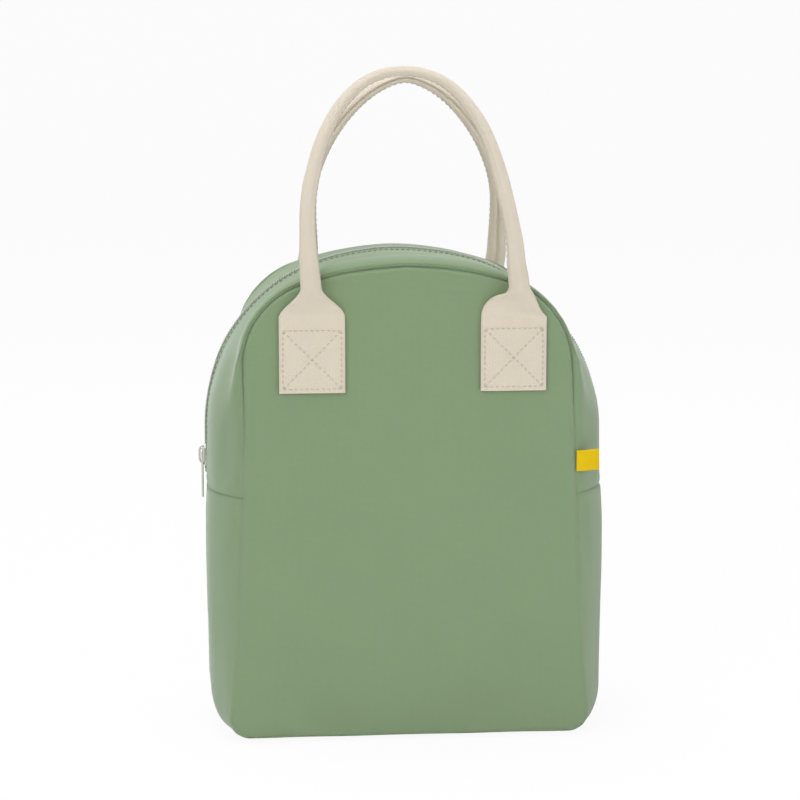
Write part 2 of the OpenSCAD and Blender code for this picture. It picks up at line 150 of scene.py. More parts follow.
def rounded(a: Grid, power: float) -> Grid:
    """Radius at each angle of a box with rounded corners, where power 2 is a circle."""
    return 1 / (np.abs(np.cos(a)) ** power + np.abs(np.sin(a)) ** power) ** (1 / power)


def distances(points: Grid) -> Grid:
    """Distance along a line at each of its points."""
    return np.concatenate([[0], np.cumsum(np.linalg.norm(np.diff(points, axis=0), axis=1))])


def directions(points: Grid) -> Grid:
    """Unit vectors along a line at each of its points."""
    along = np.gradient(points, axis=0)
    return along / np.linalg.norm(along, axis=1)[:, None]


def ray_to_circle(angle: float, x: float, z: float, radius: float) -> float:
    """Distance along a ray from the origin to the far side of a circle.

    Args:
        angle: Direction of the ray in radians.
        x: Sideways position of the circle's centre.
        z: Height of the circle's centre.
        radius: Its radius.

    Returns:
        The distance.
    """
    along = math.cos(angle) * x + math.sin(angle) * z
    return along + math.sqrt(along**2 - x**2 - z**2 + radius**2)


def build_mesh(
    name: str, points: Grid, faces: Sequence[Sequence[int]], cloth: Grid | None = None, sharp: float = 50.0
) -> bpy.types.Object:
    """Makes a mesh object from points in millimetres.

    Args:
        name: Name of the new object.
        points: Array of n by 3 positions in millimetres.
        faces: Vertex indices of each face.
        cloth: Array of n by 2 positions along the cloth in millimetres, for the weave.
        sharp: Angle in degrees above which an edge is kept sharp.

    Returns:
        The new object, linked to the scene.
    """
    mesh = bpy.data.meshes.new(name)
    mesh.from_pydata((np.asarray(points, float) * MM).tolist(), [], [list(map(int, f)) for f in faces])
    mesh.validate()
    if cloth is not None:
        layer = mesh.uv_layers.new(name="cloth")
        loops = np.zeros(len(mesh.loops), int)
        mesh.loops.foreach_get("vertex_index", loops)
        layer.data.foreach_set("uv", (np.asarray(cloth, float)[loops] * MM).ravel())
    mesh.shade_smooth()
    mesh.set_sharp_from_angle(angle=math.radians(sharp))
    made = bpy.data.objects.new(name, mesh)
    bpy.context.scene.collection.objects.link(made)
    return made


def grid_faces(n: int, m: int, start: int = 0, flip: bool = False, wrap: bool = False) -> Faces:
    """Quads over a grid of n rows of m points.

    Args:
        n: Number of rows.
        m: Points in each row.
        start: Index of the first point.
        flip: Turns the faces over.
        wrap: Joins the last point of each row to the first.

    Returns:
        The list of quads.
    """
    faces = []
    for i in range(n - 1):
        for j in range(m if wrap else m - 1):
            a, b = start + i * m + j, start + i * m + (j + 1) % m
            quad = [a, a + m, b + m, b]
            faces.append(quad[::-1] if flip else quad)
    return faces


def capped(n: int, m: int, start: int = 0) -> Faces:
    """Quads round a closed sweep of n rings of m points, with both ends filled."""
    last = start + (n - 1) * m
    return grid_faces(n, m, start, wrap=True) + [list(range(start, start + m)), list(range(last, last + m))[::-1]]


def shell(outer: Grid, inner: Grid, cloth: Grid) -> tuple[Grid, Faces, Grid]:
    """Closes two grids of points into a thin solid.

    Args:
        outer: Points n by m by 3 on the outer side.
        inner: Matching points on the inner side.
        cloth: Positions n by m by 2 along the cloth.

    Returns:
        Points, faces and cloth positions for build_mesh.
    """
    n, m = outer.shape[:2]
    size = n * m
    faces = grid_faces(n, m) + grid_faces(n, m, size, flip=True)
    rim = list(range(m))
    rim += [i * m + m - 1 for i in range(1, n)]
    rim += [(n - 1) * m + j for j in range(m - 2, -1, -1)]
    rim += [i * m for i in range(n - 2, 0, -1)]
    for a, b in zip(rim, rim[1:] + rim[:1]):
        faces.append([a, b, b + size, a + size])
    points = np.concatenate([outer.reshape(-1, 3), inner.reshape(-1, 3)])
    flat = cloth.reshape(-1, 2)
    return points, faces, np.concatenate([flat, flat])


def face_weave(face: Grid) -> Grid:
    """Positions along the cloth for the face of a flat piece."""
    return face[..., [0, 2]] + PANEL_WEAVE


def sewn_edges(shape: tuple[int, ...]) -> Grid:
    """Mask of a grid whose four edges are sewn down."""
    return np.pad(np.zeros([count - 2 for count in shape]), 1, constant_values=1.0)


def ripple(p: Grid, size: float, seed: float) -> Grid:
    """Soft uneven waves for slack cloth.

    Args:
        p: Points n by 3 in millimetres.
        size: Length of one wave in millimetres.
        seed: Shifts the pattern.

    Returns:
        Heights from about -1 to 1.
    """
    k = 2 * math.pi / size
    x, y, z = p[..., 0], p[..., 1], p[..., 2]
    h = np.sin(k * (0.9 * x + 0.35 * z) + seed) * np.sin(k * (0.55 * z - 0.3 * x + 0.4 * y) + 2.1 * seed)
    h += 0.6 * np.sin(k * (0.5 * x - 1.1 * z + 0.7 * y) + 3.7 * seed)
    h += 0.35 * np.sin(k * (1.9 * x + 1.3 * y) + 0.6 * seed) * np.cos(k * 1.7 * z + seed)
    return h / 1.95


def tube(
    centres: Grid, across: Sequence, depth: Sequence, sizes: Sequence, power: float, sides: int
) -> tuple[Grid, Faces, Grid]:
    """Sweeps a rounded strap section along a line.

    Args:
        centres: Points n by 3 on the centre line.
        across: Unit vector over the strap's width, or n of them.
        depth: Unit vector through its thickness, or n of them.
        sizes: Half width and half thickness, or n pairs of them.
        power: Roundness of the section, where 2 is an ellipse and 6 is nearly a box.
        sides: Points round the section.

    Returns:
        Points, faces and cloth positions for build_mesh.
    """
    n = len(centres)
    across, depth = (np.broadcast_to(v, (n, 3)) for v in (across, depth))
    sizes = np.broadcast_to(sizes, (n, 2))
    a = np.linspace(0, 2 * math.pi, sides, endpoint=False)
    r = rounded(a, power)
    u, v = r * np.cos(a), r * np.sin(a)
    rings = (
        centres[:, None]
        + across[:, None] * (sizes[:, 0, None] * u)[..., None]
        + depth[:, None] * (sizes[:, 1, None] * v)[..., None]
    )
    run = distances(centres)
    girth = np.concatenate([[0], np.cumsum(np.hypot(np.diff(u * sizes.max()), np.diff(v * sizes[:, 1].max())))])
    cloth = np.stack(np.broadcast_arrays(girth[None, :], run[:, None]), -1)
    return rings.reshape(-1, 3), capped(n, sides), cloth.reshape(-1, 2)


def beads(
    path: Grid, up: Sequence, length: float, gap: float, radius: float, name: str, lift: float = 0.0
) -> bpy.types.Object:
    """Lays a row of sewn stitches along a line.

    Args:
        path: Points n by 3 along the line, in millimetres.
        up: Unit vector out of the cloth, or n of them.
        length: Length of one stitch.
        gap: Distance between stitches.
        radius: Half thickness of the thread.
        name: Name of the new object.
        lift: Height of the thread's middle over the line.

    Returns:
        The new object.
    """
    rings, sides, thin = 6, 6, 0.35
    up = np.broadcast_to(up, path.shape)
    steps = distances(path)
    count = max(1, int(round((steps[-1] + gap) / (length + gap))))
    pitch = (steps[-1] + gap) / count

    def at(s: float, values: Grid) -> Grid:
        """Values at a distance along the line."""
        return np.array([np.interp(s, steps, values[:, c]) for c in range(3)])

    points, faces, cloth = [], [], []
    for i in range(count):
        faces += capped(rings, sides, len(points))
        s0 = i * pitch
        first, last = at(s0, path), at(s0 + pitch - gap, path)
        along = (last - first) / max(np.linalg.norm(last - first), 1e-9)
        for t in np.linspace(0, 1, rings):
            normal = at(s0 + t * (pitch - gap), up)
            normal = normal / np.linalg.norm(normal)
            side = np.cross(along, normal)
            arch = math.sqrt(max(0.0, 1 - (2 * t - 1) ** 2))
            girth = radius * (thin + (1 - thin) * arch)
            centre = at(s0 + t * (pitch - gap), path) + normal * (lift + radius * (1.1 * arch - 0.7))
            for k in range(sides):
                a = 2 * math.pi / sides * k
                points.append(centre + side * girth * math.cos(a) + normal * girth * math.sin(a))
                cloth.append((girth * k, s0 + t * pitch))
    return build_mesh(name, np.array(points), faces, np.array(cloth), sharp=80)


# ---------------------------------------------------------------- shader groups


def fill(tree: bpy.types.NodeTree, node: bpy.types.Node, values: dict[str | int, Input]) -> bpy.types.Node:
    """Sets the inputs of a node, by a link where the value is a socket.

    Args:
        tree: Tree that holds the node.
        node: The node.
        values: Value or socket of each input, by its name or its index.

    Returns:
        The same node.
    """
    for key, value in values.items():
        if isinstance(value, bpy.types.NodeSocket):
            tree.links.new(value, node.inputs[key])
        else:
            node.inputs[key].default_value = value
    return node


def add_node(
    tree: bpy.types.NodeTree, kind: str, values: dict[str | int, Input] | None = None, **settings: str | bool
) -> bpy.types.Node:
    """Adds a shader node.

    Args:
        tree: Tree that takes the node.
        kind: Type of the node, without ShaderNode in front.
        values: Value or socket of each input, by its name or its index.
        settings: Other properties of the node.

    Returns:
        The node.
    """
    node = tree.nodes.new(f"ShaderNode{kind}")
    for name, value in settings.items():
        setattr(node, name, value)
    return fill(tree, node, values or {})


def math_node(
    tree: bpy.types.NodeTree, operation: str, a: Input, b: Input = 0.0, clamp: bool = False
) -> bpy.types.NodeSocket:
    """Adds a Math node.

    Args:
        tree: Tree that takes the node.
        operation: Operation of the node.
        a: First value or socket.
        b: Second value or socket.
        clamp: Holds the result to 0..1.

    Returns:
        The node's output socket.
    """
    return add_node(tree, "Math", {0: a, 1: b}, operation=operation, use_clamp=clamp).outputs[0]


def new_group(
    name: str, inputs: dict[str, float], outputs: Sequence[str]
) -> tuple[bpy.types.NodeTree, bpy.types.Node, bpy.types.Node]:
    """Starts a shader node group of single values.

    Args:
        name: Name of the group.
        inputs: Default of each input, by its name.
        outputs: Name of each output.

    Returns:
        The tree, its input node and its output node.
    """
    tree = bpy.data.node_groups.new(name, "ShaderNodeTree")
    for label, value in inputs.items():
        made = tree.interface.new_socket(label, in_out="INPUT", socket_type="NodeSocketFloat")
        made.default_value = value
    for label in outputs:
        tree.interface.new_socket(label, in_out="OUTPUT", socket_type="NodeSocketFloat")
    return tree, tree.nodes.new("NodeGroupInput"), tree.nodes.new("NodeGroupOutput")


@cache
def weave_group() -> bpy.types.NodeTree:
    """Plain weave of round threads, with uneven yarn and slubs.

    Returns:
        The group, which puts out thread height, a mask of the gaps between threads, where the finishes paint shade,
        and a tone for each yarn.
    """
    tree, start, end = new_group(
        "Plain weave",
        {"Threads per metre": 1400.0, "Rib": 1.0, "Unevenness": 0.3},
        ("Height", "Gaps", "Yarn tone"),
    )
    wobble = 0.0006
    uv = add_node(tree, "UVMap", uv_map="cloth").outputs[0]
    wander = add_node(tree, "TexNoise", {"Vector": uv, "Scale": 90.0, "Detail": 3.0})
    shift = add_node(
        tree, "VectorMath", {0: wander.outputs["Color"], 1: (wobble, wobble, 0.0), 2: uv}, operation="MULTIPLY_ADD"
    )
    split = add_node(tree, "SeparateXYZ", {0: shift.outputs[0]})
    pitch = math_node(tree, "MULTIPLY", start.outputs["Threads per metre"], math.pi)
    across = math_node(tree, "MULTIPLY", split.outputs[0], pitch)
    along = math_node(tree, "MULTIPLY", math_node(tree, "MULTIPLY", split.outputs[1], pitch), start.outputs["Rib"])
    over, under = math_node(tree, "SINE", across), math_node(tree, "SINE", along)
    threads = math_node(tree, "MULTIPLY", math_node(tree, "ABSOLUTE", over), math_node(tree, "ABSOLUTE", under))
    turn = math_node(tree, "ADD", math_node(tree, "MULTIPLY", math_node(tree, "MULTIPLY", over, under), 0.5), 0.5)
    height = math_node(tree, "ADD", math_node(tree, "MULTIPLY", threads, 0.7), math_node(tree, "MULTIPLY", turn, 0.3))
    slub = add_node(tree, "TexNoise", {"Vector": uv, "Scale": 420.0, "Detail": 4.0, "Roughness": 0.65})
    lump = math_node(tree, "SUBTRACT", slub.outputs[0], 0.5)
    uneven = math_node(tree, "MULTIPLY", lump, start.outputs["Unevenness"])
    gaps = math_node(tree, "SUBTRACT", 1.0, math_node(tree, "POWER", threads, 0.45), clamp=True)
    tone = math_node(tree, "ADD", math_node(tree, "MULTIPLY", uneven, 1.4), 0.5, clamp=True)
    fill(tree, end, {"Height": math_node(tree, "ADD", height, uneven), "Gaps": gaps, "Yarn tone": tone})
    return tree


@cache
def mottle_group() -> bpy.types.NodeTree:
    """Broad soft variation of dye and dust over an object, from its own coordinates.

    Returns:
        The group, which puts out a broad tone and a fine tone, both around 0.5.
    """
    tree, start, end = new_group("Mottle", {"Broad scale": 14.0, "Fine scale": 260.0}, ("Broad", "Fine"))
    place = add_node(tree, "TexCoord").outputs["Object"]
    for source, target, detail in (("Broad scale", "Broad", 4.0), ("Fine scale", "Fine", 6.0)):
        values = {"Vector": place, "Scale": start.outputs[source], "Detail": detail, "Roughness": 0.6}
        fill(tree, end, {target: add_node(tree, "TexNoise", values).outputs[0]})
    return tree


@cache
def wear_group() -> bpy.types.NodeTree:
    """Rubbed edges of metal, from the surface's pointiness and a fine grain.

    Returns:
        The group, which puts out a mask of the worn edges and fine scratches.
    """
    tree, start, end = new_group("Edge wear", {"Reach": 0.5, "Grain": 900.0}, ("Edges", "Scratches"))
    shape = add_node(tree, "NewGeometry")
    place = add_node(tree, "TexCoord").outputs["Object"]
    noise = add_node(tree, "TexNoise", {"Vector": place, "Scale": start.outputs["Grain"], "Detail": 5.0}).outputs[0]
    sharp = math_node(tree, "MULTIPLY", math_node(tree, "SUBTRACT", shape.outputs["Pointiness"], 0.52), 9.0)
    edges = math_node(tree, "MULTIPLY", math_node(tree, "ADD", sharp, start.outputs["Reach"]), noise)
    fill(tree, end, {"Edges": math_node(tree, "MAXIMUM", edges, 0.0, clamp=True), "Scratches": noise})
    return tree


# ---------------------------------------------------------------- finishes


@dataclass(frozen=True)
class Finish:
    """Common part of every finish: its name, its base colour and the tools to wire a material."""

    name: str
    colour: Colour

    def start(self) -> tuple[bpy.types.Material, bpy.types.NodeTree, bpy.types.Node]:
        """Makes a material with a bare Principled BSDF.

        Returns:
            The material, its tree and its shader.
        """
        made = bpy.data.materials.new(self.name)
        made.use_nodes = True
        return made, made.node_tree, made.node_tree.nodes["Principled BSDF"]

    def group(
        self, tree: bpy.types.NodeTree, group: bpy.types.NodeTree, values: dict[str | int, Input] | None = None
    ) -> bpy.types.Node:
        """Places a node group.

        Args:
            tree: Tree of the material.
            group: The group.
            values: Values that differ from its defaults.

        Returns:
            The group node.
        """
        node = tree.nodes.new("ShaderNodeGroup")
        node.node_tree = group
        return fill(tree, node, values or {})

    def tones(
        self, tree: bpy.types.NodeTree, *parts: tuple[bpy.types.NodeSocket, Colour, float]
    ) -> bpy.types.NodeSocket:
        """Mixes tones over the base colour.

        Args:
            tree: Tree of the material.
            parts: Mask, other colour and strength of each tone.

        Returns:
            The socket of the mixed colour.
        """
        last: Input = (*self.colour, 1.0)
        for mask, other, strength in parts:
            factor = math_node(tree, "MULTIPLY", mask, strength, clamp=True)
            mix = add_node(tree, "Mix", {"Factor": factor, 6: last, 7: (*other, 1.0)}, data_type="RGBA")
            last = mix.outputs[2]
        return last

    def rough(
        self, tree: bpy.types.NodeTree, grain: bpy.types.NodeSocket, change: float, base: float
    ) -> bpy.types.NodeSocket:
        """Roughness that drifts with a grain.

        Args:
            tree: Tree of the material.
            grain: Grain from 0 to 1.
            change: Share of the grain that is added.
            base: Roughness where the grain is 0.

        Returns:
            The socket of the roughness.
        """
        return math_node(tree, "ADD", math_node(tree, "MULTIPLY", grain, change), base)

    def bump(
        self, tree: bpy.types.NodeTree, height: bpy.types.NodeSocket, strength: float, distance: float
    ) -> bpy.types.NodeSocket:
        """Relief from a height.

        Args:
            tree: Tree of the material.
            height: Height from 0 to 1.
            strength: Strength of the relief.
            distance: Real height in metres.

        Returns:
            The socket of the normal.
        """
        return add_node(tree, "Bump", {"Strength": strength, "Distance": distance, "Height": height}).outputs[0]


@dataclass(frozen=True)
class WovenFinish(Finish):
    """Woven cloth: canvas, webbing, tape, lining or a label."""

    deep: Colour
    pale: Colour
    threads: float
    rib: float = 1.0
    unevenness: float = 0.35
    relief: float = 0.35
    roughness: float = 0.92
    sheen: float = 0.25
    sheen_tint: Colour = (1.0, 1.0, 1.0)
    broad: float = 0.25
    # Share of the deep colour painted into the gaps between threads as shade.
    gap_shade: float = 0.5
    specular: float = 0.25

    def material(self) -> bpy.types.Material:
        """Builds the material.

        Returns:
            The finished material.
        """
        made, tree, shader = self.start()
        counts = {"Threads per metre": self.threads, "Rib": self.rib, "Unevenness": self.unevenness}
        weave, mottle = self.group(tree, weave_group(), counts), self.group(tree, mottle_group())
        # Yarn tone and mottle vary the dye; the gaps between threads get painted shade in the deep colour.
        colour = self.tones(
            tree,
            (weave.outputs["Yarn tone"], self.pale, 0.45),
            (mottle.outputs["Broad"], self.deep, self.broad),
            (mottle.outputs["Fine"], self.pale, 0.16),
            (weave.outputs["Gaps"], self.deep, self.gap_shade),
        )
        drift = math_node(tree, "MULTIPLY", math_node(tree, "SUBTRACT", mottle.outputs["Fine"], 0.5), 0.12)
        fill(tree, shader, {
            "Base Color": colour,
            "Roughness": math_node(tree, "ADD", drift, self.roughness, clamp=True),
            "Normal": self.bump(tree, weave.outputs["Height"], self.relief, 0.6 / self.threads),
            "Sheen Weight": self.sheen,
            "Sheen Roughness": 0.5,
            "Sheen Tint": (*self.sheen_tint, 1.0),
            "Specular IOR Level": self.specular,
        })
        return made


@dataclass(frozen=True)
class FoamFinish(Finish):
    """Closed-cell insulating foam with a fine open skin."""

    deep: Colour

    def material(self) -> bpy.types.Material:
        """Builds the material.

        Returns:
            The finished material.
        """
        made, tree, shader = self.start()
        place = add_node(tree, "TexCoord").outputs["Object"]
        cells = add_node(tree, "TexVoronoi", {"Scale": 1400.0, "Vector": place}).outputs["Distance"]
        mottle = self.group(tree, mottle_group())
        fill(tree, shader, {
            "Base Color": self.tones(tree, (cells, self.deep, 0.5), (mottle.outputs["Broad"], self.deep, 0.2)),
            "Roughness": self.rough(tree, mottle.outputs["Fine"], 0.15, 0.7),
            "Normal": self.bump(tree, cells, 0.4, 0.0003),
        })
        return made


@dataclass(frozen=True)
class MetalFinish(Finish):
    """Plated metal with rubbed edges and fine scratches."""

    worn: Colour
    roughness: float = 0.22

    def material(self) -> bpy.types.Material:
        """Builds the material.

        Returns:
            The finished material.
        """
        made, tree, shader = self.start()
        wear = self.group(tree, wear_group())
        mottle = self.group(tree, mottle_group(), {"Broad scale": 160.0})
        scratches = wear.outputs["Scratches"]
        colour = self.tones(tree, (wear.outputs["Edges"], self.worn, 0.8), (mottle.outputs["Broad"], self.worn, 0.2))
        fill(tree, shader, {
            "Base Color": colour,
            "Metallic": 1.0,
            "Roughness": self.rough(tree, scratches, 0.2, self.roughness),
            "Normal": self.bump(tree, scratches, 0.12, 0.0001),
        })
        return made


@dataclass(frozen=True)
class CoilFinish(Finish):
    """Nylon zip coil: satin plastic with a slight drift of tone."""

    pale: Colour

    def material(self) -> bpy.types.Material:
        """Builds the material.

        Returns:
            The finished material.
        """
        made, tree, shader = self.start()
        mottle = self.group(tree, mottle_group(), {"Broad scale": 60.0, "Fine scale": 1800.0})
        broad, fine = mottle.outputs["Broad"], mottle.outputs["Fine"]
        fill(tree, shader, {
            "Base Color": self.tones(tree, (broad, self.pale, 0.5), (fine, self.pale, 0.3)),
            "Roughness": self.rough(tree, fine, 0.2, 0.3),
        })
        return made


class Palette:
    """All finishes of the bag, built once and kept by name."""

    def __init__(self) -> None:
        """Builds every material."""
        green, deep, pale = (0.215, 0.305, 0.165), (0.145, 0.215, 0.105), (0.31, 0.415, 0.26)
        self.canvas = WovenFinish(
            "sage_canvas", green, deep, pale, threads=1500.0, sheen=0.5, sheen_tint=(0.95, 1.0, 0.97)
        ).material()
        self.webbing = WovenFinish(
            "natural_webbing", (0.68, 0.605, 0.495), (0.53, 0.46, 0.36), (0.77, 0.7, 0.6), threads=1250.0, rib=0.7,
            relief=0.4, sheen=0.3, broad=0.15, gap_shade=0.25,
        ).material()
        self.thread = WovenFinish(
            "sewing_thread", (0.6, 0.53, 0.42), (0.46, 0.4, 0.31), (0.7, 0.63, 0.52), threads=3000.0, relief=0.3
        ).material()
        self.green_thread = WovenFinish(
            "green_thread", (0.16, 0.25, 0.12), (0.09, 0.15, 0.07), (0.25, 0.36, 0.2), threads=3000.0, relief=0.3
        ).material()
        self.tape = WovenFinish(
            "zip_tape_cloth", (0.36, 0.4, 0.33), (0.26, 0.29, 0.23), (0.46, 0.5, 0.42), threads=2200.0,
            rib=0.5, relief=0.5,
        ).material()
        self.lining = WovenFinish(
            "grey_lining", (0.56, 0.58, 0.56), (0.4, 0.42, 0.41), (0.7, 0.72, 0.7), threads=3200.0,
            relief=0.12, roughness=0.55, sheen=0.1, gap_shade=0.2, specular=0.45,
        ).material()
        self.binding = WovenFinish(
            "seam_binding", (0.26, 0.29, 0.24), (0.16, 0.18, 0.15), (0.36, 0.39, 0.33), threads=1800.0,
            rib=0.6, relief=0.5,
        ).material()
        self.label = WovenFinish(
            "yellow_label", (0.74, 0.5, 0.003), (0.58, 0.37, 0.0), (0.82, 0.58, 0.01), threads=4200.0,
            relief=0.25, roughness=0.8, sheen=0.03, broad=0.15, gap_shade=0.25, specular=0.15,
        ).material()
        self.coil = CoilFinish("nylon_coil", (0.4, 0.43, 0.36), (0.5, 0.53, 0.46)).material()
        self.nickel = MetalFinish("nickel_plate", (0.66, 0.64, 0.6), (0.82, 0.8, 0.76)).material()
        self.foam = FoamFinish("insulating_foam", (0.82, 0.83, 0.82), (0.6, 0.62, 0.61)).material()


def dress(piece: bpy.types.Object, material: bpy.types.Material, slot: str, *nodes: str) -> bpy.types.Object:
    """Gives a piece its material and hides the solids it stands for.

    Args:
        piece: The new piece.
        material: Its material.
        slot: Name of a material slot; not used.
        nodes: Names of the solids it replaces.

    Returns:
        The same piece.
    """
    piece.data.materials.append(material)
    if nodes:
        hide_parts(*nodes)
    log.info("%s: %d faces, %s", piece.name, len(piece.data.polygons), material.name)
    return piece


# ---------------------------------------------------------------- bag shape


PANEL_ROWS = spaced(
    (Station.FLOOR, Station.CORNER, 8),
    (Station.CORNER, Station.FOLD, 32),
    (Station.FOLD, Station.SIDE, 20),
    (Station.SIDE, Station.SHOULDER, 30),
)


@dataclass
class Outline:
    """Arched outline seen from the front, in millimetres."""

    half_width: float
    height: float
    shoulder: float
    crown: float
    corner: float
    flare: float
    lift: float

    @property
    def shoulder_z(self) -> float:
        """Height where the straight side meets the shoulder arc."""
        drop = math.sqrt((self.crown - self.shoulder) ** 2 - (self.half_width - self.shoulder) ** 2)
        return self.height - self.crown + drop

    @property
    def shoulder_angle(self) -> float:
        """Angle swept by the shoulder arc, in radians."""
        return math.atan2(self.shoulder_z - self.height + self.crown, self.half_width - self.shoulder)

    def side_x(self, z: float) -> float:
        """Half width at height z on the straight side."""
        low = self.lift + self.corner
        return self.half_width + self.flare * (1 - (z - low) / (self.shoulder_z - low)) ** 2

    def half(self, k: float, inset: float, fold: float) -> tuple[float, float]:
        """Point of the right half.

        Args:
            k: Station, from the bottom centre to the top centre.
            inset: Distance moved inwards.
            fold: Height of the gusset seams.

        Returns:
            Width and height of the point.
        """
        foot = self.half_width + self.flare - self.corner
        low = self.lift + self.corner
        if k < Station.FLOOR:
            return k / Station.FLOOR * foot, self.lift + inset
        if k < Station.CORNER:
            a = math.pi / 2 * (share(k, Station.FLOOR, Station.CORNER) - 1)
            return foot + (self.corner - inset) * math.cos(a), low + (self.corner - inset) * math.sin(a)
        if k < Station.FOLD:
            z = low + share(k, Station.CORNER, Station.FOLD) * (fold - low)
            return self.side_x(z) - inset, z
        if k < Station.SIDE:
            z = fold + share(k, Station.FOLD, Station.SIDE) * (self.shoulder_z - fold)
            return self.side_x(z) - inset, z
        if k < Station.SHOULDER:
            a, r = self.shoulder_angle * share(k, Station.SIDE, Station.SHOULDER), self.shoulder - inset
            return self.half_width - self.shoulder + r * math.cos(a), self.shoulder_z + r * math.sin(a)
        a = self.shoulder_angle + (math.pi / 2 - self.shoulder_angle) * share(k, Station.SHOULDER, Station.TOP)
        r = self.crown - inset
        return r * math.cos(a), self.height - self.crown + r * math.sin(a)

    def full(self, k: float, inset: float, fold: float) -> tuple[float, float]:
        """Point of the whole outline.

        Args:
            k: Station, where one below 0 or above the top is on the left side.
            inset: Distance moved inwards.
            fold: Height of the gusset seams.

        Returns:
            Width and height of the point.
        """
        if k < 0:
            x, z = self.half(-k, inset, fold)
            return -x, z
        if k > Station.TOP:
            x, z = self.half(2 * Station.TOP - k, inset, fold)
            return -x, z
        return self.half(k, inset, fold)


